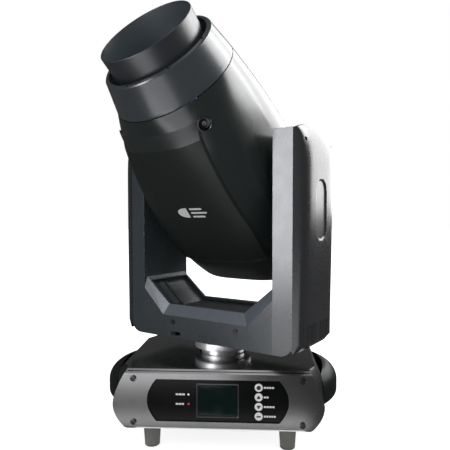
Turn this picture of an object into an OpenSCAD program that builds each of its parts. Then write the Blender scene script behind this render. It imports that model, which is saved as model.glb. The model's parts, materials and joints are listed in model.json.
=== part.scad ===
// Moving head light. A base on four rubber feet carries a U-shaped yoke that pans,
// and the yoke carries a head that tilts. World frame: +Z up, control panel towards -Y,
// origin on the pan axis in the underside of the base. Millimetres.

/* [Pose] */
// Angle of the yoke about the pan axis at rest, clockwise seen from above
pan_rest = 30.5; // [0:0.5:45]
// Forward lean of the optical axis at rest
tilt_rest = 49.5; // [0:0.5:60]

/* [Base] */
// Height of the rubber feet
foot_h = 50; // [40:60]
// Foot spacing from the centre line, sideways
foot_x = 135; // [120:140]
// Foot spacing from the centre line, fore and aft
foot_y = 96; // [85:100]
// Height of the base housing
base_h = 115; // [112:120]
// Depth of the base from front plate to rear plate
base_d = 282; // [276:300]
// Half-width of the end plates at the top edge
plate_top = 174; // [170:178]
// Half-width of the end plates at the widest level
plate_mid = 202; // [198:204]
// Half-width of the end plates at the bottom edge
plate_low = 176; // [172:180]
// Reach of a carrying handle from the centre line
handle_reach = 244; // [240:255]

/* [Yoke] */
// Outer half-width over the arm frames
arm_out = 203; // [200:206]
// Half-width of the opening for the head
arm_in = 162.3; // [160:164]
// Depth of the yoke
yoke_d = 147.4; // [144:152]
// Underside of the yoke above the underside of the base
yoke_z0 = 147.4; // [146:149]
// Top of the yoke arms above the underside of the base
yoke_z1 = 566.5; // [562:572]
// Height of the tilt axis above the underside of the base
tilt_z = 524; // [520:527]
// Outer face of the arm covers from the centre line
cover_out = 228; // [226:232]

/* [Head] */
// Rim of the lens hood from the tilt axis
hood_s = 310; // [300:320]
// Outer radius of the lens hood
hood_r = 90; // [88:91]
// Rim of the front barrel from the tilt axis
barrel_s = 269; // [262:274]
// Radius of the barrel rim
barrel_r = 108; // [104:110]
// Seam between the barrel and the body covers, from the tilt axis
seam_s = 211.5; // [208:215]
// Radius of the head at that seam
seam_r = 122.5; // [120:125]

/* [Travel] */
// Travel of a front-panel button
button_travel = 1.2; // [0.8:0.1:1.4]

/* [Hidden] */
$fn = 64;

base_z0 = 0;
base_z1 = base_h;
half_d = base_d / 2;
plate_t = 14;
bulge_z = base_z0 + 48;
body_y = half_d - plate_t;
bevel_top = 7;
bevel_low = 4;
skin = 3;
gap = 0.2;
run_gap = 0.05;
tiny = 0.02;
top_edge = 188;
corner_y = 100;
floor_edge = 165;
handle_arc_r = 170;
handle_z0 = base_z0 + 38;
handle_z1 = base_z0 + 96;
slot_out = 213;
slot_hy = 88;
plate_screws = [for (x = [-161, 161], z = [base_z0 + 14, base_z1 - 17]) [x, z]];

panel_hw = 135;
panel_end_hw = 117;
panel_z0 = base_z0 + 16;
panel_z1 = base_z1 - 18;
panel_zc = (panel_z0 + panel_z1) / 2;
panel_y = -half_d + skin;
panel_t = 3;
button_x = 78;
button_r = 7.7;
button_z = [for (i = [0:3]) panel_zc + 26.5 - 18.35 * i];
led_x = -55.5;
led_z = [panel_zc + 11, panel_zc - 7.5];
led_r = 1.6;
window_w = 74;
window_h = 58.5;
xlr_x = [-92, -58, 12, 46];
power_x = [-130, 92];
data_x = -22;
socket_z = panel_zc - 8;

column_r = 24;
column_bore = 18;
collar_r = 34;
collar_flange_r = 60;
belt_t = 1.5;
belt_w = 9;
pulley_w = 10;
pan_pulley_r = 50;
pan_drive_r = 12;
pan_drive_u = -125;
belt_z = yoke_z0 + 41;

wall = 4;
pan_motor_len = belt_z - yoke_z0 - wall - 3.5;
half_v = yoke_d / 2;
cavity_v = half_v - wall;
chamfer_z = yoke_z1 - 292.8;
flat_z = yoke_z0 + 70.6;
flat_u = 96;
rim_h = 23;
rim_d = 8;
strip_d = 2.4;
corner_r = 25;
trough = 10;
trough_v = 61.5;
motor_side = 57;
bearing_r = 30;
shaft_r = 18;
tilt_pulley_r = 34;
tilt_drive_r = 10;
tilt_drive_z = tilt_z - 119;
tilt_belt_u = 204.5;
tilt_motor_len = tilt_belt_u - arm_in - wall - 3.5;
grip_z = tilt_z - 105.5;
lock_u = -72;
lock_z = yoke_z0 + 9.6;
crossbar_screw_u = 80;
crossbar_screw_z = yoke_z0 + 34.6;

shell_t = 3;
rear_seam = -130;
rear_end = -240;
body_s = [seam_s, 200, 183, 158, 134, 102, 69, 29, -8, -44, -90, rear_seam];
cap_s = [rear_seam, -160, -190, -210, -222, -231, -237, rear_end];
ring_n = 72;
panel_rise = 6;
split_y = 10;
hood_s0 = 240.2;
rim_screw_a = -1.5;
plate_u = 112;
rod_r = 4;
rod_pitch_r = 76;
rod_s0 = 52;
rod_s1 = 226;
zoom_s = 104;
focus_s = 168;
wheel_offset = 55;
colour_s = 20;
gobo_s = 30;
fan_s = -216;
fan_r = 78;

// ---------------------------------------------------------------- frames and helpers

module yoke_at() {
  rotate([0, 0, -pan_rest]) children();
}

module head_at() {
  yoke_at() translate([0, 0, tilt_z]) rotate([tilt_rest, 0, 0]) children();
}

// Stands a front-view drawing (x, z) up at depth y, growing towards +Y
module front_plate(y, t) {
  translate([0, y + t, 0]) rotate([90, 0, 0]) linear_extrude(t) children();
}

// A cylinder along +Y that starts at depth y
module y_cyl(x, y, z, r, h) {
  translate([x, y, z]) rotate([-90, 0, 0]) cylinder(r = r, h = h);
}

// A cylinder along +X that starts at u
module x_cyl(u, v, z, r, h) {
  translate([u, v, z]) rotate([0, 90, 0]) cylinder(r = r, h = h);
}

module tube(r_out, r_in, h) {
  difference() {
    cylinder(r = r_out, h = h);
    translate([0, 0, -1]) cylinder(r = r_in, h = h + 2);
  }
}

module centred_box(c, s) {
  translate([c[0] - s[0] / 2, c[1] - s[1] / 2, c[2] - s[2] / 2]) cube(s);
}

module stadium(w, h) {
  square([w - h, h], center = true);
  for (side = [-1, 1]) translate([side * (w - h) / 2, 0]) circle(r = h / 2);
}

// Outline round two pulleys, the second at distance d along +X
module pulley_loop(r1, r2, d) {
  lean = acos((r1 - r2) / d);
  circle(r = r1);
  translate([d, 0]) circle(r = r2);
  polygon([
    [r1 * cos(lean), -r1 * sin(lean)], [d + r2 * cos(lean), -r2 * sin(lean)],
    [d + r2 * cos(lean), r2 * sin(lean)], [r1 * cos(lean), r1 * sin(lean)]
  ]);
}

module belt(r1, r2, d) {
  linear_extrude(belt_w) difference() {
    pulley_loop(r1 + belt_t, r2 + belt_t, d);
    pulley_loop(r1, r2, d);
  }
}

// Flanged pulley of belt radius r with a bore
module pulley(r, bore) {
  difference() {
    union() {
      cylinder(r = r - 0.1, h = pulley_w + 3);
      cylinder(r = r + 3, h = 1.2);
      translate([0, 0, pulley_w + 1.8]) cylinder(r = r + 3, h = 1.2);
    }
    translate([0, 0, -1]) cylinder(r = bore, h = pulley_w + 5);
  }
}

// ---------------------------------------------------------------- base

// Half-width at height z: mid at the bulge, top and low at the edges, p sets the upper curve
function bulge_hw(z, mid, top, low, p) = z > bulge_z
  ? mid - (mid - top) * pow((z - bulge_z) / (base_z1 - bulge_z), p)
  : mid - (mid - low) * pow((bulge_z - z) / (bulge_z - base_z0), 2);
function plate_hw(z) = bulge_hw(z, plate_mid, plate_top, plate_low, 1.5);
function side_hw(z) = bulge_hw(z, plate_mid + 1.5, top_edge, plate_low, 4.5);

module plate_outline(inset) {
  steps = 16;
  z0 = base_z0 + inset;
  z1 = base_z1 - inset;
  heights = [for (i = [0:steps]) z0 + (z1 - z0) * i / steps];
  right = [for (z = heights) [plate_hw(z) - inset, z]];
  left = [for (i = [steps:-1:0]) [-right[i][0], right[i][1]]];
  polygon(concat(right, left));
}

// Right half of the body section: corner 1 at the end plates, 0 between them
module side_outline(inset, corner) {
  steps = 16;
  z0 = base_z0 + 1 + inset;
  z1 = base_z1 - 3.1 - inset;
  heights = [for (i = [0:steps]) z0 + (z1 - z0) * i / steps];
  right = [for (z = heights) [(corner == 1 ? plate_hw(z) - 0.5 : side_hw(z)) - inset, z]];
  polygon(concat([[0, z0]], right, [[0, z1]]));
}

module panel_outline(grow) {
  steps = 12;
  half_h = (panel_z1 - panel_z0) / 2 + grow;
  heights = [for (i = [-steps:steps]) half_h * i / steps];
  right = [for (h = heights)
    [panel_hw + grow - (panel_hw - panel_end_hw) * pow(h / half_h, 2), panel_zc + h]];
  left = [for (i = [2 * steps:-1:0]) [-right[i][0], right[i][1]]];
  polygon(concat(right, left));
}

// One moulded end plate, open behind, with screw bosses and recesses
module end_plate() {
  difference() {
    front_plate(-half_d, plate_t) plate_outline(0);
    for (edge = [[base_z1, bevel_top], [base_z0, bevel_low]])
      translate([0, -half_d, edge[0]]) rotate([45, 0, 0])
        centred_box([0, 0, 0], [500, edge[1] * sqrt(2), edge[1] * sqrt(2)]);
    difference() {
      front_plate(-half_d + skin, plate_t) plate_outline(skin);
      for (p = plate_screws) y_cyl(p[0], -half_d, p[1], 9, plate_t);
    }
    for (p = plate_screws) {
      y_cyl(p[0], -half_d - 1, p[1], 6.3, 4);
      y_cyl(p[0], -half_d, p[1], 2.6, plate_t + 1);
    }
  }
}

module base_tray() {
  floor_x = 164;
  side_x = 157;
  color("dimgray") difference() {
    union() {
      centred_box([0, 0, base_z0 + 1.5], [2 * floor_x, 2 * body_y - 2 * gap, 3]);
      for (side = [-1, 1]) centred_box([side * side_x, 0, base_z0 + 55], [2, 240, 106]);
    }
    for (x = [-110, 110], y = [-53, 53]) translate([x, y, base_z0 - 1]) cylinder(r = 5, h = 6);
    translate([0, 112, base_z0 - 1]) cylinder(r = 7, h = 6);
    for (x = [-foot_x, foot_x], y = [-foot_y, foot_y])
      translate([x, y, base_z0 - 1]) cylinder(r = 4.1, h = 6);
    for (i = [-4:4]) centred_box([i * 12, -90, base_z0 + 1], [5, 40, 8]);
  }
}

module base_top_cover() {
  t = 3;
  color("black") difference() {
    union() {
      translate([0, 0, base_z1 - t]) linear_extrude(t) polygon([
        for (p = [[plate_top, -1], [top_edge, -1], [top_edge, 1], [plate_top, 1],
                  [-plate_top, 1], [-top_edge, 1], [-top_edge, -1], [-plate_top, -1]])
          [p[0], p[1] * (abs(p[0]) == plate_top ? body_y - gap : corner_y)]
      ]);
      for (y = [-1, 1]) centred_box([0, y * (body_y - 2), base_z1 - 7], [300, 3, 9]);
    }
    translate([0, 0, base_z1 - 10]) cylinder(r = 50, h = 20);
  }
}

module front_bezel() {
  color([0.12, 0.12, 0.13]) difference() {
    end_plate();
    front_plate(-half_d - 1, plate_t) panel_outline(0);
  }
}

module control_panel() {
  color([0.02, 0.02, 0.02]) difference() {
    front_plate(panel_y + tiny, panel_t) panel_outline(5);
    centred_box([0, panel_y, panel_zc], [window_w, 12, window_h]);
    for (z = button_z) y_cyl(button_x, panel_y - 1, z, button_r + gap, 6);
    for (z = led_z) y_cyl(led_x, panel_y - 1, z, led_r, 6);
  }
}

module display_window() {
  color([0.2, 0.22, 0.25])
    centred_box([0, panel_y + 1.8, panel_zc], [window_w - gap, 2.4, window_h - gap]);
}

module control_board() {
  board_y = panel_y + 8.6;
  color("darkgreen") {
    centred_box([0, board_y + 0.8, panel_zc], [216, 1.6, 68]);
    centred_box([0, board_y - 2.4, panel_zc], [68, 4.8, 54]);
    centred_box([30, board_y + 4.6, panel_zc], [30, 6, 12]);
  }
}

module status_leds() {
  color("white") for (z = led_z) {
    y_cyl(led_x, panel_y - 0.4, z, led_r - run_gap, 6);
    y_cyl(led_x, panel_y + 4, z, led_r + 1, 2);
  }
}

module button(i) {
  color("whitesmoke") {
    y_cyl(button_x, panel_y - 2, button_z[i], button_r, 6);
    y_cyl(button_x, panel_y + 3.2, button_z[i], button_r + 0.9, 1.4);
    y_cyl(button_x, panel_y + 4, button_z[i], 2, 2.8);
  }
}

module button_menu() { button(0); }
module button_up() { button(1); }
module button_down() { button(2); }
module button_enter() { button(3); }

module rear_panel() {
  color([0.1, 0.1, 0.11]) difference() {
    mirror([0, 1, 0]) end_plate();
    for (x = xlr_x) y_cyl(x, body_y, socket_z, 11.8, 20);
    for (x = power_x) y_cyl(x, body_y, socket_z, 13, 20);
    for (z = [-9, 9]) centred_box([data_x, half_d, socket_z + z], [16, 20, 13.4]);
    for (i = [-3:3]) centred_box([i * 16, half_d, base_z1 - 20], [11, 20, 3]);
  }
}

module power_connectors() {
  color([0.15, 0.2, 0.45]) for (x = power_x) difference() {
    union() {
      centred_box([x, half_d + 1.1, socket_z], [26, 2, 31]);
      y_cyl(x, body_y + 2, socket_z, 12.6, plate_t - 1);
    }
    y_cyl(x, half_d - 8, socket_z, 9.5, 14);
  }
}

module signal_connectors() {
  color([0.3, 0.3, 0.32]) {
    for (x = xlr_x) difference() {
      union() {
        centred_box([x, half_d + 1.1, socket_z], [26, 2, 31]);
        y_cyl(x, body_y + 2, socket_z, 11.5, plate_t - 1);
      }
      y_cyl(x, half_d - 8, socket_z, 9, 14);
    }
    for (z = [-9, 9]) difference() {
      centred_box([data_x, half_d - 4, socket_z + z], [15.6, 10, 13]);
      centred_box([data_x, half_d - 1, socket_z + z], [12, 8, 9]);
    }
  }
}

// Solid that joins the outline of the end plates to the fuller section between them
module side_solid(inset) {
  thin = 0.2;
  end_y = body_y - gap - inset;
  hull() for (side = [-1, 1]) {
    front_plate(side > 0 ? end_y - thin : -end_y, thin) side_outline(inset, 1);
    front_plate(side * corner_y - thin / 2, thin) side_outline(inset, 0);
  }
}

// Right side cover: a barrel-curved shell with cut-back corners, open inwards
module side_cover() {
  difference() {
    side_solid(0);
    side_solid(skin);
    centred_box([floor_edge / 2, 0, base_z0 + 60], [floor_edge, 300, 140]);
    for (i = [-6:6]) centred_box([plate_mid, i * 12, base_z0 + 22], [60, 5, 14]);
  }
}

module side_cover_right() {
  color([0.1, 0.1, 0.1]) side_cover();
}

module side_cover_left() {
  color([0.1, 0.1, 0.1]) mirror([1, 0, 0]) side_cover();
}

// Bow handle: an arc in plan with a full rounded shoulder, open behind for the fingers
module handle() {
  half_angle = 41;
  depth = 60;
  shoulder_r = 30;
  lip_r = 9;
  slot_r = 300;
  difference() {
    translate([handle_reach - handle_arc_r, 0, 0]) rotate([0, 0, -half_angle])
      rotate_extrude(angle = 2 * half_angle, $fn = 96) difference() {
        translate([handle_arc_r - depth, handle_z0]) square([depth, handle_z1 - handle_z0]);
        translate([handle_arc_r - shoulder_r, handle_z1 - shoulder_r]) difference() {
          square(shoulder_r + 1);
          circle(r = shoulder_r);
        }
        translate([handle_arc_r - lip_r, handle_z0 - 1]) difference() {
          square([lip_r + 1, lip_r + 1]);
          translate([0, lip_r + 1]) circle(r = lip_r);
        }
      }
    front_plate(-150, 300) side_outline(-gap, 0);
    intersection() {
      translate([slot_out - slot_r, 0, 0]) cylinder(r = slot_r, h = 200, $fn = 128);
      centred_box([slot_out, 0, 70], [80, 2 * slot_hy, 140]);
    }
  }
}

module handle_right() {
  color([0.08, 0.08, 0.08]) handle();
}

module handle_left() {
  color([0.08, 0.08, 0.08]) mirror([1, 0, 0]) handle();
}

module rubber_feet() {
  color([0.25, 0.26, 0.24]) for (x = [-foot_x, foot_x], y = [-foot_y, foot_y])
    translate([x, y, -foot_h]) {
      cylinder(r1 = 14.8, r2 = 17.5, h = foot_h - 6);
      translate([0, 0, foot_h - 6]) cylinder(r = 17.5, h = 6 - tiny);
      translate([0, 0, foot_h - 3]) cylinder(r = 4, h = 9);
    }
}

module plate_screw() {
  cylinder(r = 5, h = 2.4);
  translate([0, 0, 1]) cylinder(r = 2.5, h = 11);
}

module base_screws() {
  color("silver") for (p = plate_screws) {
    translate([p[0], -half_d + 0.6, p[1]]) rotate([-90, 0, 0]) plate_screw();
    translate([p[0], half_d - 0.6, p[1]]) rotate([90, 0, 0]) plate_screw();
  }
}

module power_supply() {
  color("silver") difference() {
    centred_box([108, 0, base_z0 + 34], [84, 190, 54]);
    for (i = [-7:7]) centred_box([108, i * 11, base_z0 + 60], [60, 5, 6]);
  }
}

module pan_column() {
  color("silver") translate([0, 0, base_z0 + 3 + tiny]) difference() {
    union() {
      cylinder(r = column_r, h = belt_z + pulley_w + 1.5 - base_z0 - 3 - tiny);
      cylinder(r = 45, h = 6);
    }
    translate([0, 0, -1]) cylinder(r = column_bore, h = 260);
    for (a = [45:90:315]) rotate([0, 0, a]) translate([36, 0, -1]) cylinder(r = 2.6, h = 9);
  }
}

module pan_pulley_fixed() {
  color("lightgray") translate([0, 0, belt_z - 1.5]) pulley(pan_pulley_r, column_r + tiny);
}

// ---------------------------------------------------------------- yoke

module yoke_outer() {
  translate([-arm_out + corner_r, yoke_z0]) square([2 * (arm_out - corner_r), yoke_z1 - yoke_z0]);
  translate([-arm_out, yoke_z0 + corner_r]) square([2 * arm_out, yoke_z1 - yoke_z0 - corner_r]);
  for (side = [-1, 1])
    translate([side * (arm_out - corner_r), yoke_z0 + corner_r]) circle(r = corner_r);
}

// Right half of a line that runs down an arm, along the chamfer and the flat
function u_line(u, drop) = [[u, yoke_z1 + 9], [u, chamfer_z - drop], [flat_u, flat_z - drop]];
function mirrored(pts) = [for (i = [len(pts) - 1:-1:0]) [-pts[i][0], pts[i][1]]];

module yoke_opening() {
  polygon(concat(u_line(arm_in, 0), mirrored(u_line(arm_in, 0))));
}

module yoke_cavity() {
  in_u = arm_in + wall;
  right = [
    [arm_out + 5, yoke_z1 - wall], [in_u, yoke_z1 - wall], [in_u, chamfer_z - 2],
    [flat_u + 2, flat_z - wall]
  ];
  low = [[arm_out - 24, yoke_z0 + wall], [arm_out - wall, yoke_z0 + 28],
         [arm_out + 5, yoke_z0 + 28]];
  polygon(concat(low, right, mirrored(right), mirrored(low)));
}

// Chamfer round the lower part of the opening, on the front face
module rim_plug(grow) {
  side_u = arm_in + (grow > 0 ? grow : 0);
  front = [[side_u, chamfer_z + 5], [side_u, chamfer_z - rim_h - 1 - grow],
           [flat_u + 11, flat_z - rim_h - grow]];
  rear = [[side_u, chamfer_z + 5], [side_u, chamfer_z - grow], [flat_u, flat_z - grow]];
  hull() {
    front_plate(-half_v - 1, 1 + grow) polygon(concat(front, mirrored(front)));
    front_plate(-half_v + rim_d + grow - 0.02, 0.02) polygon(concat(rear, mirrored(rear)));
  }
}

// Slanting cut that sets the front of the right arm back towards its outer edge
module strip_cut() {
  translate([0, 0, yoke_z0 - 1]) linear_extrude(yoke_z1 - yoke_z0 + 2) polygon([
    [arm_in, -half_v], [arm_out + 1, -half_v + strip_d], [arm_out + 1, -half_v - 1],
    [arm_in, -half_v - 1]
  ]);
}

module yoke_frame() {
  boss_r = bearing_r + 6;
  color([0.12, 0.12, 0.13]) yoke_at() difference() {
    union() {
      difference() {
        front_plate(-half_v, yoke_d) difference() {
          yoke_outer();
          yoke_opening();
        }
        difference() {
          front_plate(-cavity_v, 2 * cavity_v) yoke_cavity();
          for (turn = [0, 1]) mirror([0, turn, 0]) rim_plug(wall);
        }
        front_plate(-trough_v, 2 * trough_v) polygon([
          [-arm_in + tiny, chamfer_z - 1], [-flat_u, flat_z + 5], [flat_u, flat_z + 5],
          [arm_in - tiny, chamfer_z - 1], [arm_in - tiny, chamfer_z - 12],
          [flat_u, flat_z - 12], [-flat_u, flat_z - 12], [-arm_in + tiny, chamfer_z - 12]
        ]);
      }
      x_cyl(arm_in, 0, tilt_z, boss_r, 14);
      x_cyl(-arm_in - 14, 0, tilt_z, boss_r, 14);
    }
    for (turn = [0, 1]) mirror([0, turn, 0]) {
      rim_plug(0);
      strip_cut();
      mirror([1, 0, 0]) strip_cut();
    }
    x_cyl(-arm_out, 0, tilt_z, bearing_r, 2 * arm_out);
    translate([0, 0, yoke_z0 - 1]) cylinder(r = collar_r + 6, h = 8);
    for (a = [45:90:315]) rotate([0, 0, a])
      translate([45, 0, yoke_z0 - 1]) cylinder(r = 2.6, h = 8);
    for (u = [-1, 1]) y_cyl(u * crossbar_screw_u, -half_v - 1, crossbar_screw_z, 2.1, 8);
    translate([lock_u, 0, lock_z]) front_plate(-half_v - 1, wall + 2) stadium(25, 8);
  }
}

module crossbar_cover() {
  t = 3;
  top_u = arm_in + 3.6;
  top_z = chamfer_z - 7;
  low_z = flat_z - trough;
  edge_u = flat_u + 3;
  color([0.14, 0.14, 0.15]) yoke_at() {
    front_plate(-trough_v + gap, 2 * (trough_v - gap)) polygon([
      [-top_u, top_z], [-edge_u, low_z], [edge_u, low_z], [top_u, top_z],
      [top_u, top_z - t], [edge_u, low_z - t], [-edge_u, low_z - t], [-top_u, top_z - t]
    ]);
    for (side = [-1, 1], rib = [[-45, 15], [-22, 3]]) front_plate(rib[0], rib[1]) polygon([
      for (p = [[edge_u, low_z - 1], [edge_u - 3, low_z + 7], [arm_in - 18, chamfer_z - 16],
                [arm_in - 4, top_z - 8]])
        [side * p[0], p[1]]
    ]);
  }
}

// Plan section of the right arm cover at a bulge of b beyond the frame
module cover_section(b, inset) {
  v0 = half_v - 0.7 - inset;
  v1 = half_v - 8 - inset;
  v2 = half_v - 18 - inset;
  u0 = arm_out + 0.2;
  polygon([
    [u0, -v0], [u0 + b * 0.3, -v0 + 1], [u0 + b * 0.72 - inset, -v1],
    [u0 + b - inset, -v2], [u0 + b - inset, v2], [u0 + b * 0.72 - inset, v1],
    [u0 + b * 0.3, v0 - 1], [u0, v0]
  ]);
}

// Solid of the right arm cover, from the bottom chamfer to the arched top
module cover_solid(inset) {
  bulge = cover_out - arm_out - 0.2;
  thin = 0.5;
  levels = [
    [yoke_z0 + 8 + inset, 0.22], [yoke_z0 + 24 + inset, 0.86], [yoke_z0 + 130, 0.97],
    [tilt_z - 130, 1], [tilt_z - 20, 0.95], [yoke_z1 - 6 - inset, 0.8],
    [yoke_z1 + 5 - inset, 0.5]
  ];
  hull() for (l = levels)
    translate([0, 0, l[0]]) linear_extrude(thin) cover_section(bulge * l[1], inset);
}

// A stadium-shaped plug for the grip recess, from u outwards
module grip_plug(u, grow) {
  translate([u, 0, grip_z]) rotate([0, 90, 0]) linear_extrude(20)
    stadium(115 + grow, 45 + grow);
}

module arm_cover() {
  difference() {
    cover_solid(0);
    difference() {
      translate([-0.01, 0, 0]) cover_solid(2.5);
      grip_plug(cover_out - 9, 5);
    }
    grip_plug(cover_out - 6.5, 0);
    for (i = [0:8]) centred_box([cover_out, 0, yoke_z0 + 17 + 4.6 * i], [9, 96, 2.2]);
    for (v = [-1, 1]) x_cyl(arm_out, v * 57, yoke_z1 - 21, 3.2, 30);
  }
}

module arm_cover_right() {
  color([0.1, 0.1, 0.1]) yoke_at() arm_cover();
}

module arm_cover_left() {
  color([0.1, 0.1, 0.1]) yoke_at() mirror([1, 0, 0]) arm_cover();
}

module pan_collar() {
  low = base_z1 - 5;
  color("gainsboro") yoke_at() difference() {
    union() {
      translate([0, 0, low]) cylinder(r = 46, h = 19);
      translate([0, 0, base_z1 + 13]) cylinder(r = collar_flange_r, h = 14);
      translate([0, 0, base_z1 + 26]) cylinder(r = 54, h = yoke_z0 - base_z1 - 26 - tiny);
    }
    translate([0, 0, low - 1]) cylinder(r = collar_r, h = 60);
  }
}

module pan_bearing() {
  color("silver") yoke_at() translate([0, 0, base_z1 + 6])
    tube(collar_r - run_gap, column_r + run_gap, 22);
}

module motor_body(len) {
  centred_box([0, 0, len / 2], [motor_side, motor_side, len]);
}

module pan_motor() {
  color([0.15, 0.15, 0.15]) yoke_at() translate([pan_drive_u, 0, yoke_z0 + wall + tiny])
    difference() {
      motor_body(pan_motor_len);
      translate([0, 0, 6]) cylinder(r = 4 + run_gap, h = 60);
    }
}

module drive_pulley(r) {
  pulley(r, 3.9);
  translate([0, 0, -16]) cylinder(r = 4, h = pulley_w + 19);
}

module pan_motor_pulley() {
  color("silver") yoke_at() translate([pan_drive_u, 0, belt_z - 1.5]) drive_pulley(pan_drive_r);
}

module pan_belt() {
  color("black") yoke_at() translate([0, 0, belt_z + 0.5]) rotate([0, 0, 180])
    belt(pan_pulley_r, pan_drive_r, -pan_drive_u);
}

module tilt_motor() {
  color([0.15, 0.15, 0.15]) yoke_at()
    translate([-arm_in - wall - tiny, 0, tilt_drive_z]) rotate([0, -90, 0]) difference() {
      motor_body(tilt_motor_len);
      translate([0, 0, 6]) cylinder(r = 4 + run_gap, h = 60);
    }
}

module tilt_motor_pulley() {
  color("silver") yoke_at() translate([-tilt_belt_u + 1.5, 0, tilt_drive_z])
    rotate([0, -90, 0]) drive_pulley(tilt_drive_r);
}

module tilt_belt() {
  color("black") yoke_at() translate([-tilt_belt_u - 0.5, 0, tilt_z]) rotate([0, -90, 0])
    rotate([0, 0, 180]) belt(tilt_pulley_r, tilt_drive_r, tilt_z - tilt_drive_z);
}

module tilt_bearings() {
  color("silver") yoke_at() for (side = [0, 1]) mirror([side, 0, 0])
    translate([arm_in + 1, 0, tilt_z]) rotate([0, 90, 0])
      tube(bearing_r - run_gap, shaft_r + run_gap, 12);
}

module yoke_screws() {
  color("silver") yoke_at() {
    for (u = [-1, 1]) {
      y_cyl(u * crossbar_screw_u, -half_v - 1.8, crossbar_screw_z, 5, 1.8 - tiny);
      y_cyl(u * crossbar_screw_u, -half_v - 1, crossbar_screw_z, 2, 7);
    }
    for (a = [45:90:315]) rotate([0, 0, a]) translate([45, 0, 0]) {
      translate([0, 0, yoke_z0 + tiny]) cylinder(r = 2.5, h = wall);
      translate([0, 0, yoke_z0 + wall + tiny]) cylinder(r = 4.5, h = 3);
    }
    for (side = [0, 1], v = [-57, 57]) mirror([side, 0, 0])
      x_cyl(arm_out + 2, v, yoke_z1 - 21, 3, 14);
  }
}

module pan_lock() {
  color([0.5, 0.5, 0.52]) yoke_at() translate([lock_u - 6, 0, lock_z])
    front_plate(-half_v - 1.5, 5) stadium(12.4, 7.6);
}

// ---------------------------------------------------------------- head

// Where s lies between s0 (0) and s1 (1), raised to a power
function ease(s, s0, s1, p) = pow(max(0, min(1, (s - s0) / (s1 - s0))), p);

// Body section at s: half-width, underside, back, squareness of the underside and back
function tail(s) = 1 - 0.07 * ease(s, rear_seam, -222, 1.7) - 0.09 * ease(s, -222, rear_end, 1.5);
function half_w(s) = tail(s) * (150 - (150 - seam_r) * ease(s, -40, seam_s, 1.85));
function under_b(s) = tail(s) * (162 - (162 - seam_r) * ease(s, -100, seam_s, 1.65));
function back_b(s) = tail(s) * (140 - (140 - seam_r) * ease(s, -44, seam_s, 1.8));
function under_n(s) = 4 - 2 * ease(s, 29, seam_s, 1.3);
function back_n(s) = 2.5 - 0.5 * ease(s, -44, seam_s, 1.2);

// Half-width of the raised underside panel, and its height over the cover at (x, s)
function panel_w(s) = 90 + 22 * ease(s, 158, -45, 1);
function panel_up(x, s) = panel_rise * ease(s, 183, 158, 1)
  * ease(abs(x), panel_w(s) + 3, panel_w(s) - 3, 1) * ease(s, rear_seam, -118, 1);

function power_of(x, n) = sign(x) * pow(abs(x), 2 / n);
function ring_point(s, a, inset, raised) =
  let (
    under = sin(a) < 0,
    n = under ? under_n(s) : back_n(s),
    b = under ? under_b(s) : back_b(s),
    x = (half_w(s) - inset) * power_of(cos(a), n),
    y = (b - inset) * power_of(sin(a), n)
  )
  [x, under && raised ? y - panel_up(x, s) : y];

// Closed solid through the sections at the places in list, front first
module loft(list, inset, raised = false) {
  rows = len(list);
  points = [for (i = [rows - 1:-1:0], j = [0:ring_n - 1])
    let (p = ring_point(list[i], 360 * j / ring_n, inset, raised)) [p[0], p[1], list[i]]];
  sides = [for (i = [0:rows - 2], j = [0:ring_n - 1])
    [i * ring_n + j, (i + 1) * ring_n + j, (i + 1) * ring_n + (j + 1) % ring_n,
     i * ring_n + (j + 1) % ring_n]];
  back = [for (j = [0:ring_n - 1]) j];
  front = [for (j = [ring_n - 1:-1:0]) (rows - 1) * ring_n + j];
  polyhedron(points, concat([back], sides, [front]));
}

// Body shell, open at both ends
module body_shell(raised) {
  difference() {
    loft(body_s, 0, raised);
    translate([0, 0, 0.01]) loft(body_s, shell_t);
    translate([0, 0, -0.01]) loft(body_s, shell_t);
    rotate([0, 90, 0]) cylinder(r = shaft_r + 8, h = 400, center = true);
  }
}

module head_cover_under() {
  color([0.07, 0.07, 0.08]) head_at() resize([0, 0, 0]) difference() {
    body_shell(true);
    translate([-200, split_y - gap, -300]) cube([400, 400, 600]);
    for (u = [-1, 1]) translate([u * 104, -119, 176]) rotate([90, 0, 0])
      cylinder(r = 11, h = 30, $fn = 32);
  }
}

module head_cover_back() {
  color([0.1, 0.1, 0.11]) head_at() resize([0, 0, 0]) difference() {
    body_shell(false);
    translate([-200, split_y - 400, -300]) cube([400, 400, 600]);
    for (side = [-1, 1], i = [0:5]) translate([side * 70, 120, -105 + 14 * i])
      cube([60, 80, 5], center = true);
  }
}

module rim_screws_at() {
  for (i = [0:7]) rotate([0, 0, rim_screw_a + 45 * i]) translate([barrel_r - 4.6, 0, 0])
    children();
}

module front_barrel() {
  t = 4;
  bore = 84;
  seat_r = hood_r + 2;
  color([0.1, 0.1, 0.11]) head_at() difference() {
    rotate_extrude() polygon([
      [seam_r - t, seam_s + tiny], [seam_r, seam_s + tiny], [seam_r - 1.5, seam_s + 6],
      [barrel_r + 0.6, barrel_s - 3], [barrel_r, barrel_s], [barrel_r - 2, barrel_s + 2.5],
      [barrel_r - 7, barrel_s + 4], [barrel_r - 9, barrel_s + 2],
      [barrel_r - 9, barrel_s - 4], [seat_r, hood_s0 + 7], [seat_r, hood_s0 - gap],
      [bore, hood_s0 - gap], [bore, hood_s0 - 4], [seam_r - t - 4, 232],
      [seam_r - t - 4, seam_s + 8]
    ]);
    rim_screws_at() translate([0, 0, barrel_s + 1]) cylinder(r = 2.6, h = 6);
  }
}

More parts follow.
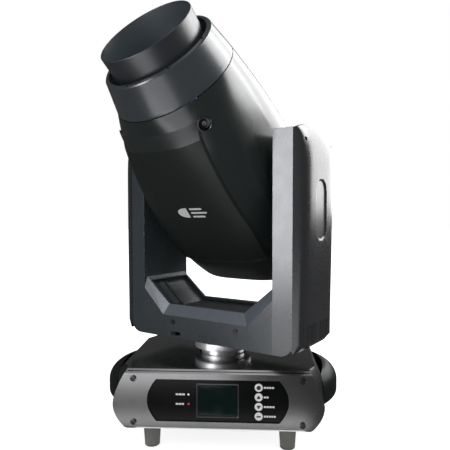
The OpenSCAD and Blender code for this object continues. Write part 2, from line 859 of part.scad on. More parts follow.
module lens_hood() {
  t = 2.5;
  seat = 80;
  low = hood_s0;
  color([0.1, 0.1, 0.12]) head_at() rotate_extrude() polygon([
    [seat, low], [hood_r + 1.5, low], [hood_r + 1.5, low + 6], [hood_r, low + 9],
    [hood_r, hood_s - 2], [hood_r - 1, hood_s], [hood_r - t + 0.6, hood_s],
    [hood_r - t, hood_s - 2], [hood_r - t, low + 4], [seat, low + 4]
  ]);
}

module rear_cap() {
  color([0.09, 0.09, 0.1]) head_at() resize([0, 0, 0]) difference() {
    loft(cap_s, 0.02);
    translate([0, 0, shell_t]) loft(cap_s, shell_t);
    translate([0, 0, rear_seam - 0.2]) cylinder(r = 260, h = 20);
    for (i = [-7:7]) translate([i * 13, 0, -240]) cube([6, 170, 20], center = true);
    for (side = [-1, 1], i = [0:3]) translate([side * 150, 0, -165 - 14 * i])
      cube([60, 120, 5], center = true);
  }
}

module rods_at() {
  for (a = [90, 210, 330]) rotate([0, 0, a]) translate([rod_pitch_r, 0, 0]) children();
}

module head_chassis() {
  color("gray") head_at() difference() {
    union() {
      for (side = [-1, 1]) {
        centred_box([side * plate_u, 0, 30], [4, 90, 250]);
        centred_box([side * (plate_u - 4), 0, 184], [8, 40, 84]);
      }
      for (s = [rod_s0, rod_s1 - 5]) translate([0, 0, s]) intersection() {
        cylinder(r = plate_u, h = 5);
        centred_box([0, 0, 0], [2 * plate_u, 200, 20]);
      }
      translate([0, 0, -72]) intersection() {
        cylinder(r = plate_u, h = 5);
        centred_box([0, 0, 0], [2 * plate_u, 190, 20]);
      }
    }
    for (s = [rod_s0 - 1, rod_s1 - 6]) translate([0, 0, s]) cylinder(r = 50, h = 8);
    rods_at() translate([0, 0, rod_s0 - 1]) cylinder(r = rod_r + tiny, h = 200);
    translate([0, 0, -80]) cylinder(r = 40, h = 20);
    rotate([0, 90, 0]) cylinder(r = 12, h = 400, center = true);
  }
}

module trunnions() {
  color("lightgray") head_at() for (side = [0, 1]) mirror([side, 0, 0]) difference() {
    union() {
      x_cyl(plate_u + 2 + tiny, 0, 0, 34, 7);
      x_cyl(plate_u + 8, 0, 0, shaft_r, (side == 1 ? tilt_belt_u + 14 : 186) - plate_u - 8);
    }
    x_cyl(plate_u, 0, 0, 10, 200);
  }
}

module tilt_pulley() {
  color("lightgray") head_at() translate([-tilt_belt_u + 1.5, 0, 0]) rotate([0, -90, 0])
    pulley(tilt_pulley_r, shaft_r + tiny);
}

module heat_sink() {
  s0 = -180;
  s1 = -100;
  color([0.2, 0.2, 0.2]) head_at() {
    centred_box([0, 0, s1 + 6], [180, 200, 12]);
    for (i = [-9:9]) centred_box([i * 9.6, 0, (s0 + s1) / 2 + 1], [2, 190, s1 - s0 + 2]);
    for (y = [-1, 1]) centred_box([0, y * 60, s1 + 19.9], [180, 10, 15.9]);
  }
}

module led_engine() {
  color([0.75, 0.6, 0.3]) head_at() {
    translate([0, 0, -87.9]) cylinder(r = 34, h = 14);
    difference() {
      translate([0, 0, -74]) cylinder(r1 = 30, r2 = 38, h = 50);
      translate([0, 0, -70]) cylinder(r1 = 24, r2 = 34, h = 60);
    }
  }
}

module fan_frame() {
  color([0.15, 0.15, 0.15]) head_at() translate([0, 0, fan_s]) {
    difference() {
      centred_box([0, 0, 15], [168, 168, 30]);
      translate([0, 0, -1]) cylinder(r = fan_r, h = 32);
    }
    difference() {
      union() {
        cylinder(r = 24, h = 3);
        for (a = [0:90:270]) rotate([0, 0, a]) translate([0, -2, 0]) cube([fan_r + 1, 4, 3]);
      }
      translate([0, 0, -1]) cylinder(r = 4 + run_gap, h = 5);
    }
  }
}

module fan_rotor() {
  blade_tilt = 35;
  color([0.2, 0.2, 0.2]) head_at() translate([0, 0, fan_s + 5]) {
    cylinder(r = 26, h = 22);
    translate([0, 0, -5]) cylinder(r = 4, h = 6);
    for (a = [0:360 / 7:359]) rotate([0, 0, a]) translate([24, 0, 11])
      rotate([blade_tilt, 0, 0]) centred_box([25, 0, 0], [50, 2, 26]);
  }
}

module guide_rods() {
  color("silver") head_at() rods_at() translate([0, 0, rod_s0]) cylinder(r = rod_r, h = 174);
}

// Lens carriage on the three rods, with a seat for the lens
module carriage(s, seat_r) {
  translate([0, 0, s]) difference() {
    union() {
      cylinder(r = seat_r + 6, h = 8);
      rods_at() cylinder(r = 10, h = 12);
      for (a = [90, 210, 330]) rotate([0, 0, a])
        translate([seat_r, -6, 0]) cube([rod_pitch_r - seat_r, 12, 8]);
    }
    rods_at() translate([0, 0, -1]) cylinder(r = rod_r + run_gap, h = 16);
    translate([0, 0, -1]) cylinder(r = seat_r - 3, h = 20);
    translate([0, 0, 2]) cylinder(r = seat_r + tiny, h = 20);
  }
}

// Lens with a flat seat edge and a domed face
module lens(r, edge, dome) {
  sphere_r = (r * r + dome * dome) / (2 * dome);
  cylinder(r = r, h = edge);
  translate([0, 0, edge]) intersection() {
    translate([0, 0, dome - sphere_r]) sphere(r = sphere_r, $fn = 96);
    cylinder(r = r, h = dome + 1);
  }
}

module zoom_carriage() {
  color([0.2, 0.2, 0.2]) head_at() carriage(zoom_s, 44);
}

module zoom_lens() {
  color([0.7, 0.85, 0.95, 0.5]) head_at() translate([0, 0, zoom_s + 2 + tiny]) lens(44, 5, 10);
}

module focus_carriage() {
  color([0.2, 0.2, 0.2]) head_at() carriage(focus_s, 48);
}

module focus_lens() {
  color([0.7, 0.85, 0.95, 0.5]) head_at() translate([0, 0, focus_s + 2 + tiny]) lens(48, 5, 11);
}

module front_lens() {
  color([0.7, 0.85, 0.95, 0.5]) head_at() translate([0, 0, hood_s0 + 4 + tiny]) lens(85, 6, 16);
}

// Disc with a ring of windows, turning about its own pin
module wheel(r, windows, window_r) {
  difference() {
    cylinder(r = r, h = 2);
    for (a = [0:360 / windows:359]) rotate([0, 0, a])
      translate([0, wheel_offset, -1]) cylinder(r = window_r, h = 4);
    translate([0, 0, -1]) cylinder(r = 3 + run_gap, h = 4);
  }
}

module colour_wheel() {
  color([0.8, 0.3, 0.6]) head_at() translate([0, -wheel_offset, colour_s]) wheel(76, 8, 17);
}

module gobo_wheel() {
  color("silver") head_at() translate([0, wheel_offset, gobo_s]) wheel(74, 7, 15);
}

module wheel_motors() {
  color([0.15, 0.15, 0.15]) head_at() {
    translate([0, -wheel_offset, colour_s - 36]) cylinder(r = 14, h = 34);
    translate([0, -wheel_offset, colour_s - 3]) cylinder(r = 3, h = 7);
    translate([0, wheel_offset, gobo_s - 46]) cylinder(r = 14, h = 44);
    translate([0, wheel_offset, gobo_s - 3]) cylinder(r = 3, h = 7);
    for (y = [-1, 1]) centred_box([0, y * wheel_offset, -18], [219.5, 16, 4]);
  }
}

module head_screws() {
  color("silver") head_at() rim_screws_at()
    translate([0, 0, barrel_s + 1 + tiny]) cylinder(r = 2.3, h = 1.4);
}

// ---------------------------------------------------------------- drawing

base_tray();
base_top_cover();
front_bezel();
control_panel();
display_window();
control_board();
status_leds();
rear_panel();
power_connectors();
signal_connectors();
side_cover_left();
side_cover_right();
handle_left();
handle_right();
rubber_feet();
base_screws();
power_supply();
pan_column();
pan_pulley_fixed();
button_menu();
button_up();
button_down();
button_enter();
yoke_frame();
crossbar_cover();
arm_cover_left();
arm_cover_right();
pan_collar();
pan_bearing();
pan_motor();
pan_motor_pulley();
pan_belt();
tilt_motor();
tilt_motor_pulley();
tilt_belt();
tilt_bearings();
yoke_screws();
pan_lock();
head_cover_under();
head_cover_back();
front_barrel();
lens_hood();
rear_cap();
head_chassis();
trunnions();
tilt_pulley();
heat_sink();
led_engine();
fan_frame();
fan_rotor();
guide_rods();
zoom_carriage();
zoom_lens();
focus_carriage();
focus_lens();
front_lens();
colour_wheel();
gobo_wheel();
wheel_motors();
head_screws();
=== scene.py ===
"""Looks for the moving head light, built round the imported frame. Metres, +Z up."""
import json
import math

import bmesh
import bpy
from mathutils import Matrix, Vector


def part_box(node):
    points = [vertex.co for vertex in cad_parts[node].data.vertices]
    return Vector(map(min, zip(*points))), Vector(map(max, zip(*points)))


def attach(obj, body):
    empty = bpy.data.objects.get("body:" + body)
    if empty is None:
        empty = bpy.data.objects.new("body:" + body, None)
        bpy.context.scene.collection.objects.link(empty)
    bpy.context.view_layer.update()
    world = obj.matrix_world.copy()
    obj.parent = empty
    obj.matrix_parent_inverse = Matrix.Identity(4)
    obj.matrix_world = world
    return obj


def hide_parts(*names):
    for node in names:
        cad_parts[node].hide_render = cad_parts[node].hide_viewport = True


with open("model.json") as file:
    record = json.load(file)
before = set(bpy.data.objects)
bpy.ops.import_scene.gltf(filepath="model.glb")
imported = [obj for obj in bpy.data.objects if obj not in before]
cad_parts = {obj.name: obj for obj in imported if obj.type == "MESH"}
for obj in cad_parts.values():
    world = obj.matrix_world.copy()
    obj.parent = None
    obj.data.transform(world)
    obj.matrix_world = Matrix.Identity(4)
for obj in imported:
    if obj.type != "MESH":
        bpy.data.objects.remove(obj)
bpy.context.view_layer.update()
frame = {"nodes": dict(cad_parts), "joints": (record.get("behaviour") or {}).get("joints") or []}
nodes = frame["nodes"]
joints = {j["name"]: j for j in frame["joints"]}
MM = 0.001

# ------------------------------------------------------------------ frames

side = Vector(joints["tilt"]["axis"])
optic = Vector(joints["zoom_slide"]["axis"])
pivot = Vector(joints["tilt"]["pos_m"])
up = Vector((0, 0, 1))
right = Vector((1, 0, 0))
ahead = Vector((0, -1, 0))


def axes(x, y, z, origin):
    """A frame from three unit axes, with its origin in metres."""
    rotation = Matrix((x, y, z)).transposed().to_4x4()
    return Matrix.Translation(origin) @ rotation


def upright(out, origin):
    """A frame with Y up and Z along out, a level direction."""
    return axes(up.cross(out), up, out, origin)


HEAD = axes(side, optic.cross(side), optic, pivot)
YOKE = axes(side, up.cross(side), up, Vector((0, 0, 0)))
WORLD = Matrix.Identity(4)

# ------------------------------------------------------------------ materials

FINE_GRID = 2600.0  # texture scale of tool marks and display pixels

def new_material(name):
    mat = bpy.data.materials.new(name)
    mat.use_nodes = True
    tree = mat.node_tree
    shader = tree.nodes["Principled BSDF"]
    return mat, tree, shader


def add_node(tree, kind, inputs=None, **settings):
    node = tree.nodes.new(kind)
    for key, value in settings.items():
        setattr(node, key, value)
    for key, value in (inputs or {}).items():
        node.inputs[key].default_value = value
    return node


def object_coords(tree):
    return add_node(tree, "ShaderNodeTexCoord").outputs["Object"]


def noise(tree, coords, scale, detail=3.0, distortion=0.0):
    node = add_node(tree, "ShaderNodeTexNoise",
                    {"Scale": scale, "Detail": detail, "Distortion": distortion})
    tree.links.new(coords, node.inputs["Vector"])
    return node.outputs["Fac"]


def remap(tree, value, low, high, start=0.3, end=0.7):
    node = add_node(tree, "ShaderNodeMapRange",
                    {"From Min": start, "From Max": end, "To Min": low, "To Max": high})
    tree.links.new(value, node.inputs["Value"])
    return node.outputs["Result"]


def mix_colour(tree, factor, a, b):
    node = add_node(tree, "ShaderNodeMix", data_type="RGBA")
    tree.links.new(factor, node.inputs["Factor"])
    for slot, value in ((6, a), (7, b)):
        if hasattr(value, "is_linked"):
            tree.links.new(value, node.inputs[slot])
        else:
            node.inputs[slot].default_value = (*value, 1)
    return node.outputs[2]


def bump(tree, shader, height, distance):
    node = add_node(tree, "ShaderNodeBump", {"Distance": distance, "Strength": 1.0})
    tree.links.new(height, node.inputs["Height"])
    previous = shader.inputs["Normal"]
    if previous.is_linked:
        tree.links.new(previous.links[0].from_socket, node.inputs["Normal"])
    tree.links.new(node.outputs["Normal"], previous)


def finish(name, colour, rough, metallic=0.0, grain=900.0, grain_depth=0.000004, spread=0.015,
           coat=0.0, coat_rough=0.1, tone=0.08, specular=0.5, edge=0.0, painted_top_light=None):
    """A moulded, painted or machined surface: fine grain, uneven sheen and a little unevenness.

    edge rounds the shading of sharp edges, in millimetres; the colour given last is painted light:
    a lighter colour painted on upward faces, standing in for light from above, with their specular
    turned down.
    """
    mat, tree, shader = new_material(name)
    coords = object_coords(tree)
    cloud = noise(tree, coords, 9.0, 4.0)
    darker = tuple(c * (1 - tone) for c in colour)
    lighter = tuple(min(1, c * (1 + tone)) for c in colour)
    base = mix_colour(tree, remap(tree, cloud, 0, 1), darker, lighter)
    # painted light: upward faces take a lighter painted colour and less specular, in place of light
    # from above
    if painted_top_light:
        facing = add_node(tree, "ShaderNodeSeparateXYZ")
        tree.links.new(add_node(tree, "ShaderNodeNewGeometry").outputs["Normal"],
                       facing.inputs["Vector"])
        upward = remap(tree, facing.outputs["Z"], 0, 1, 0.12, 0.28)
        base = mix_colour(tree, upward, base, painted_top_light)
        tree.links.new(remap(tree, upward, specular, specular * 0.2, 0, 1),
                       shader.inputs["Specular IOR Level"])
    tree.links.new(base, shader.inputs["Base Color"])
    sheen = noise(tree, coords, 38.0, 5.0, 0.4)
    tree.links.new(remap(tree, sheen, rough - spread, rough + spread), shader.inputs["Roughness"])
    if edge:
        rounding = add_node(tree, "ShaderNodeBevel", {"Radius": edge * MM}, samples=6)
        tree.links.new(rounding.outputs["Normal"], shader.inputs["Normal"])
    bump(tree, shader, noise(tree, coords, grain, 2.0), grain_depth)
    shader.inputs["Metallic"].default_value = metallic
    shader.inputs["Specular IOR Level"].default_value = specular
    shader.inputs["Coat Weight"].default_value = coat
    shader.inputs["Coat Roughness"].default_value = coat_rough
    return mat


def turned_metal(name, colour, rough, axis_scale=(1, 1, 1)):
    """Metal with fine tool marks across one direction."""
    mat, tree, shader = new_material(name)
    coords = object_coords(tree)
    mapping = add_node(tree, "ShaderNodeMapping", {"Scale": axis_scale})
    tree.links.new(coords, mapping.inputs["Vector"])
    marks = noise(tree, mapping.outputs["Vector"], FINE_GRID, 2.0)
    cloud = noise(tree, coords, 30.0, 4.0)
    tree.links.new(
        mix_colour(tree, remap(tree, cloud, 0, 1), tuple(c * 0.85 for c in colour), colour),
        shader.inputs["Base Color"])
    tree.links.new(remap(tree, marks, rough - 0.08, rough + 0.08), shader.inputs["Roughness"])
    bump(tree, shader, marks, 0.02 * MM)
    shader.inputs["Metallic"].default_value = 1.0
    shader.inputs["Anisotropic"].default_value = 0.5
    return mat


def clear_glass(name, tint, coat_tint):
    """Coated glass: faint smears and a coloured coating."""
    mat, tree, shader = new_material(name)
    coords = object_coords(tree)
    smear = noise(tree, coords, 24.0, 4.0, 1.0)
    tree.links.new(remap(tree, smear, 0.02, 0.07), shader.inputs["Roughness"])
    tree.links.new(mix_colour(tree, remap(tree, smear, 0, 1), tint, tuple(c * 0.94 for c in tint)),
                   shader.inputs["Base Color"])
    shader.inputs["Transmission Weight"].default_value = 1.0
    shader.inputs["IOR"].default_value = 1.5
    shader.inputs["Coat Weight"].default_value = 0.6
    shader.inputs["Coat Tint"].default_value = (*coat_tint, 1)
    return mat


def glowing(name, colour, strength):
    """A lit light pipe, brighter in its middle."""
    mat, tree, shader = new_material(name)
    facing = add_node(tree, "ShaderNodeLayerWeight", {"Blend": 0.4})
    rim = tuple(c * 0.5 for c in colour)
    tree.links.new(mix_colour(tree, facing.outputs["Facing"], colour, rim),
                   shader.inputs["Emission Color"])
    shader.inputs["Base Color"].default_value = (*colour, 1)
    shader.inputs["Emission Strength"].default_value = strength
    shader.inputs["Roughness"].default_value = 0.25
    return mat


def display_surface():
    """Dark display behind a window: a faint grey-green field with a hint of pixels."""
    mat, tree, shader = new_material("display_surface")
    coords = object_coords(tree)
    grid = add_node(tree, "ShaderNodeTexChecker",
                    {"Scale": FINE_GRID, "Color1": (0.002, 0.008, 0.007, 1),
                     "Color2": (0.004, 0.013, 0.012, 1)})
    tree.links.new(coords, grid.inputs["Vector"])
    tree.links.new(grid.outputs["Color"], shader.inputs["Base Color"])
    tree.links.new(remap(tree, noise(tree, coords, 30.0, 5.0, 1.0), 0.06, 0.16),
                   shader.inputs["Roughness"])
    shader.inputs["Specular IOR Level"].default_value = 0.2
    return mat


M = {
    "base": finish("base_satin_black", (0.011, 0.014, 0.013), 0.36, specular=0.22),
    "bezel": finish("bezel_dark_metallic", (0.145, 0.145, 0.147), 0.26, metallic=0.9),
    "top": finish("base_top_gloss", (0.010, 0.0125, 0.0115), 0.17, grain_depth=0.00001, coat=0.9,
                  coat_rough=0.12, specular=0.8),
    "panel": finish("panel_smoked_black", (0.004, 0.0045, 0.0045), 0.22, grain_depth=0.000003,
                    specular=0.08),
    "handle": finish("handle_satin_black", (0.013, 0.016, 0.015), 0.40, specular=0.06),
    # the yoke's upward faces get a painted lighter colour: painted light from above
    "yoke": finish("yoke_slate_black", (0.037, 0.047, 0.051), 0.28, edge=0.9,
                   painted_top_light=(0.112, 0.130, 0.150)),
    "trough": finish("trough_matt_black", (0.066, 0.075, 0.077), 0.40, specular=0.14, edge=0.6),
    "lock": finish("lock_black", (0.012, 0.012, 0.013), 0.24),
    "arm": finish("arm_satin_black", (0.028, 0.029, 0.031), 0.27),
    "head": finish("head_satin_black", (0.019, 0.024, 0.023), 0.25, tone=0.10),
    "barrel": finish("barrel_satin_black", (0.045, 0.052, 0.058), 0.27, tone=0.10),
    "cover": finish("panel_matt_black", (0.0165, 0.0205, 0.0185), 0.42, specular=0.16),
    "plate_screw": finish("plate_screw_black", (0.008, 0.008, 0.008), 0.30),
    # painted light: the grip dish is the cover's plastic, painted light grey to stand in for the
    # light it catches
    "grip": finish("grip_painted_light", (0.10, 0.10, 0.10), 0.24),
    "well": finish("well_black", (0.012, 0.0125, 0.013), 0.30),
    "frame": finish("display_frame_black", (0.030, 0.036, 0.035), 0.20),
    "hood": finish("hood_satin_black", (0.026, 0.029, 0.034), 0.36),
    "hood_in": finish("hood_inside_matt", (0.072, 0.090, 0.098), 0.45),
    "foot": finish("foot_rubber", (0.15, 0.154, 0.136), 0.78, grain=420.0, grain_depth=0.0002,
                   tone=0.3, specular=0.3),
    "belt": finish("belt_rubber", (0.015, 0.015, 0.015), 0.7, grain=600.0, grain_depth=0.0001),
    "white": finish("button_white", (0.80, 0.80, 0.78), 0.30, grain_depth=0.00001, tone=0.05),
    "mark": finish("marking_white", (0.75, 0.75, 0.74), 0.45, grain_depth=0.00001, tone=0.06),
    "symbol": finish("symbol_black", (0.006, 0.006, 0.007), 0.35, grain_depth=0.00001),
    "sheet": finish("sheet_black_powder", (0.030, 0.030, 0.032), 0.55, grain=500.0,
                    grain_depth=0.00010),
    "motor": finish("motor_black", (0.025, 0.025, 0.026), 0.5),
    "board": finish("board_green", (0.012, 0.10, 0.035), 0.4, grain=260.0, grain_depth=0.00004),
    "socket_blue": finish("socket_blue", (0.020, 0.045, 0.22), 0.4),
    "socket_black": finish("socket_black", (0.022, 0.022, 0.024), 0.42),
    "anodised": finish("black_anodised", (0.022, 0.022, 0.024), 0.4, metallic=0.6),
    "steel": turned_metal("turned_steel", (0.56, 0.56, 0.57), 0.28),
    "screw": turned_metal("dark_screw_steel", (0.20, 0.20, 0.21), 0.32),
    "bright": turned_metal("bright_aluminium", (0.66, 0.66, 0.67), 0.40, (1, 1, 0.02)),
    "alu": turned_metal("bare_aluminium", (0.62, 0.63, 0.65), 0.34),
    "copper": turned_metal("copper_base", (0.66, 0.40, 0.22), 0.3),
    "lens": clear_glass("lens_glass", (0.86, 0.92, 0.95), (0.55, 0.62, 0.95)),
    "filter": clear_glass("filter_glass", (0.80, 0.30, 0.62), (0.9, 0.6, 0.3)),
    "display": display_surface(),
    "led_white": glowing("led_white", (0.80, 0.85, 0.90), 0.8),
    "led_red": glowing("led_red", (0.55, 0.02, 0.03), 0.6),
}

CAD_FINISH = {
    "base_tray": "sheet", "base_top_cover": "top", "front_bezel": "bezel",
    "control_panel": "panel", "display_window": "display", "control_board": "board",
    "status_leds": "led_white", "rear_panel": "base", "power_connectors": "socket_blue",
    "signal_connectors": "socket_black", "side_cover_left": "base", "side_cover_right": "base",
    "handle_left": "handle", "handle_right": "handle", "rubber_feet": "foot",
    "base_screws": "screw", "power_supply": "alu", "pan_column": "steel",
    "pan_pulley_fixed": "alu", "button_menu": "white", "button_up": "white",
    "button_down": "white", "button_enter": "white", "yoke_frame": "yoke",
    "crossbar_cover": "trough", "arm_cover_left": "arm", "arm_cover_right": "arm",
    "pan_collar": "bright", "pan_bearing": "steel", "pan_motor": "motor",
    "pan_motor_pulley": "alu", "pan_belt": "belt", "tilt_motor": "motor",
    "tilt_motor_pulley": "alu", "tilt_belt": "belt", "tilt_bearings": "steel",
    "yoke_screws": "plate_screw", "pan_lock": "lock", "head_cover_under": "head",
    "head_cover_back": "head", "front_barrel": "head", "lens_hood": "hood", "rear_cap": "head",
    "head_chassis": "sheet", "trunnions": "steel", "tilt_pulley": "alu",
    "heat_sink": "anodised", "led_engine": "copper", "fan_frame": "motor",
    "fan_rotor": "motor", "guide_rods": "steel", "zoom_carriage": "anodised",
    "zoom_lens": "lens", "focus_carriage": "anodised", "focus_lens": "lens",
    "front_lens": "lens", "colour_wheel": "filter", "gobo_wheel": "alu",
    "wheel_motors": "motor", "head_screws": "screw",
}


for name, obj in nodes.items():
    obj.data.materials.clear()
    obj.data.materials.append(M[CAD_FINISH[name]])

# ------------------------------------------------------------------ shared shapes


def linked(name, data):
    """A new object in the scene."""
    obj = bpy.data.objects.new(name, data)
    bpy.context.scene.collection.objects.link(obj)
    return obj


def fit(obj, body, node=None):
    """Puts a piece on its body and in place of the CAD node it stands for."""
    if node:
        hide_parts(node)
    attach(obj, body)


def smooth_by_angle(obj, angle):
    for polygon in obj.data.polygons:
        polygon.use_smooth = True
    obj.data.set_sharp_from_angle(angle=math.radians(angle))


def make_piece(name, points, faces, finish_name, place=WORLD, smooth=35.0):
    """A mesh from points in millimetres in a local frame, set in metres in the shared frame."""
    mesh = bpy.data.meshes.new(name)
    mesh.from_pydata([place @ (Vector(p) * MM) for p in points], [], faces)
    mesh.validate()
    bm = bmesh.new()
    bm.from_mesh(mesh)
    bmesh.ops.recalc_face_normals(bm, faces=bm.faces)
    bm.to_mesh(mesh)
    bm.free()
    obj = linked(name, mesh)
    mesh.materials.append(M[finish_name])
    smooth_by_angle(obj, smooth)
    return obj


def round_edges(obj, width, segments=3, angle=30.0):
    """A bevel, with weighted normals so that wide faces stay flat next to it."""
    bevel = obj.modifiers.new("bevel", "BEVEL")
    bevel.width = width * MM
    bevel.segments = segments
    bevel.limit_method = "ANGLE"
    bevel.angle_limit = math.radians(angle)
    bevel.use_clamp_overlap = True
    weighted = obj.modifiers.new("normals", "WEIGHTED_NORMAL")
    weighted.weight = 100
    weighted.keep_sharp = True


def soften(obj, width):
    """Rounds the hard edges of a carried-over node."""
    weld = obj.modifiers.new("weld", "WELD")
    weld.merge_threshold = 0.02 * MM
    flat = obj.modifiers.new("flat", "DECIMATE")
    flat.decimate_type = "DISSOLVE"
    flat.angle_limit = math.radians(1.0)
    flat.delimit = {"MATERIAL"}
    smooth_by_angle(obj, 60.0)
    round_edges(obj, width)


def thicken(obj, thickness):
    shell = obj.modifiers.new("shell", "SOLIDIFY")
    shell.thickness = thickness * MM
    shell.offset = -1
    shell.use_even_offset = True


def cut(obj, cutters):
    """Boolean cut with throw-away cutter meshes."""
    bm = bmesh.new()
    for cutter in cutters:
        bm.from_mesh(cutter.data)
        bpy.data.objects.remove(cutter)
    mesh = bpy.data.meshes.new(obj.name + "_cuts")
    bm.to_mesh(mesh)
    bm.free()
    tool = linked(obj.name + "_cuts", mesh)
    boolean = obj.modifiers.new("cut", "BOOLEAN")
    boolean.object = tool
    boolean.solver = "EXACT"
    bake(obj)
    bpy.data.objects.remove(tool)


def bake(obj):
    """Turns the modifiers into mesh."""
    deps = bpy.context.evaluated_depsgraph_get()
    mesh = bpy.data.meshes.new_from_object(obj.evaluated_get(deps))
    obj.modifiers.clear()
    old = obj.data
    obj.data = mesh
    bpy.data.meshes.remove(old)


def circle(radius, count):
    return [(radius * math.cos(2 * math.pi * k / count), radius * math.sin(2 * math.pi * k / count))
            for k in range(count)]


def around(place, radius, degrees):
    """A frame moved out from place's own Z axis, radius in millimetres."""
    angle = math.radians(degrees)
    return place @ Matrix.Translation((radius * math.cos(angle) * MM,
                                       radius * math.sin(angle) * MM, 0))


def grid_faces(rows, columns, wrap=False):
    """Quads between rows of points; wrap also joins the last column to the first."""
    faces = []
    span = columns if wrap else columns - 1
    for i in range(rows - 1):
        for j in range(span):
            k = (j + 1) % columns
            faces.append((i * columns + j, i * columns + k,
                          (i + 1) * columns + k, (i + 1) * columns + j))
    return faces


def lathe(name, profile, finish_name, place=WORLD, segments=192, smooth=35.0):
    """Turns a profile of (radius, height) about the local Z axis."""
    points = []
    for k in range(segments):
        angle = 2 * math.pi * k / segments
        points += [(r * math.cos(angle), r * math.sin(angle), h) for r, h in profile]
    count = len(profile)
    faces = []
    for k in range(segments):
        n = (k + 1) % segments
        for i in range(count):
            j = (i + 1) % count
            faces.append((k * count + i, n * count + i, n * count + j, k * count + j))
    return make_piece(name, points, faces, finish_name, place, smooth)


def rounded(points, radius, steps=5):
    """A closed outline with its corners made into arcs, of one radius or one for each corner."""
    count = len(points)
    result = []
    for i, corner in enumerate(points):
        r = radius[i] if isinstance(radius, (list, tuple)) else radius
        p = Vector(corner)
        a = Vector(points[i - 1]) - p
        b = Vector(points[(i + 1) % count]) - p
        if r <= 0 or a.length < 1e-6 or b.length < 1e-6:
            result.append(tuple(p))
            continue
        half = a.angle(b) / 2
        reach = min(r / math.tan(half), a.length * 0.48, b.length * 0.48)
        r = reach * math.tan(half)
        centre = p + (a.normalized() + b.normalized()).normalized() * (r / math.sin(half))
        start = p + a.normalized() * reach - centre
        end = p + b.normalized() * reach - centre
        turn = math.pi - 2 * half
        side_sign = 1 if start.x * end.y - start.y * end.x > 0 else -1
        for s in range(steps + 1):
            angle = side_sign * turn * s / steps
            c, n = math.cos(angle), math.sin(angle)
            result.append((centre.x + start.x * c - start.y * n,
                           centre.y + start.x * n + start.y * c))
    return result


def prism(name, outline, low, high, finish_name, place=WORLD, smooth=35.0):
    """An outline in local XY, drawn out along local Z."""
    count = len(outline)
    points = [(x, y, low) for x, y in outline] + [(x, y, high) for x, y in outline]
    faces = [list(range(count - 1, -1, -1)), list(range(count, 2 * count))]
    faces += [(i, (i + 1) % count, count + (i + 1) % count, count + i) for i in range(count)]
    return make_piece(name, points, faces, finish_name, place, smooth)


def joined(name, parts):
    """Several pieces of one finish as one object."""
    bm = bmesh.new()
    for part in parts:
        bm.from_mesh(part.data)
    mesh = bpy.data.meshes.new(name)
    bm.to_mesh(mesh)
    bm.free()
    obj = linked(name, mesh)
    mesh.materials.append(parts[0].data.materials[0])
    for part in parts:
        bpy.data.objects.remove(part)
    smooth_by_angle(obj, 35.0)
    return obj


def turned_to(direction, origin):
    """A frame whose Z points along direction, from origin in metres."""
    turn = direction.normalized().to_track_quat("Z", "Y")
    return Matrix.Translation(origin) @ turn.to_matrix().to_4x4()


def socket_screw(name, radius, height, place, finish_name="screw"):
    """A pan-head screw with a hexagon socket, its head rising along local Z from 0."""
    ring = 36
    socket = radius * 0.52
    levels = [(radius, 0.0), (radius, height * 0.55), (radius * 0.93, height * 0.85),
              (radius * 0.80, height)]
    points = [(x, y, h) for r, h in levels for x, y in circle(r, ring)]

    def hexagon(r, k):
        angle = 2 * math.pi * k / ring
        local = (angle + math.pi / 6) % (math.pi / 3) - math.pi / 6
        return r * math.cos(math.pi / 6) / math.cos(local), angle

    for scale, h in ((1.08, height), (1.0, height * 0.9), (1.0, height * 0.25)):
        for k in range(ring):
            r, angle = hexagon(socket * scale, k)
            points.append((r * math.cos(angle), r * math.sin(angle), h))
    rows = len(levels) + 3
    faces = grid_faces(rows, ring, wrap=True)
    faces.append(list(range(ring - 1, -1, -1)))
    faces.append([(rows - 1) * ring + k for k in range(ring)])
    return make_piece(name, points, faces, finish_name, place, 25.0)


# ------------------------------------------------------------------ head

SEAM, SEAM_R = 211.5, 122.5
REAR_SEAM, REAR_END = -130.0, -240.0
HEAD_HALF_W, UNDER_DEPTH, BACK_DEPTH = 150, 162, 140
SPLIT = 10.0
CREASE = math.radians(-24.5)
HEAD_WALL, COVER_WALL = 3.0, 2.4
RAMP_TOP, RAMP_FOOT = 158.0, 183.0  # front ramp of the raised underside panel
TAIL_BEND = -222


def ease(s, s0, s1, power=1.0):
    return max(0.0, min(1.0, (s - s0) / (s1 - s0))) ** power


def smooth_step(x):
    x = max(0.0, min(1.0, x))
    return x * x * (3 - 2 * x)


def tail(s):
    return (1 - 0.07 * ease(s, REAR_SEAM, TAIL_BEND, 1.7)
            - 0.09 * ease(s, TAIL_BEND, REAR_END, 1.5))


def half_w(s):
    return tail(s) * (HEAD_HALF_W - (HEAD_HALF_W - SEAM_R) * ease(s, -40, SEAM, 1.85))


def under_b(s):
    return tail(s) * (UNDER_DEPTH - (UNDER_DEPTH - SEAM_R) * ease(s, -100, SEAM, 1.65))


def back_b(s):
    return tail(s) * (BACK_DEPTH - (BACK_DEPTH - SEAM_R) * ease(s, -44, SEAM, 1.8))


def under_n(s):
    return 4 - 2 * ease(s, 29, SEAM, 1.3)


def back_n(s):
    return 2.5 - 0.5 * ease(s, -44, SEAM, 1.2)


def section(s, a):
    """A point of the head's smooth section at s, at angle a."""
    under = math.sin(a) < 0
    n = under_n(s) if under else back_n(s)
    b = under_b(s) if under else back_b(s)
    c, d = math.cos(a), math.sin(a)
    return (math.copysign(half_w(s) * abs(c) ** (2 / n), c),
            math.copysign(b * abs(d) ** (2 / n), d))


def angle_at_x(s, x):
    """The underside angle where the section reaches half-width x."""
    n = under_n(s)
    return -math.acos(min(1.0, (x / half_w(s)) ** (n / 2)))


def angle_at_split(s):
    return math.asin((SPLIT / back_b(s)) ** (back_n(s) / 2))


def panel_w(s):
    return 90 + 22 * ease(s, RAMP_TOP, -45)


def panel_rise(s):
    return 6.0 * ease(s, RAMP_FOOT, RAMP_TOP)


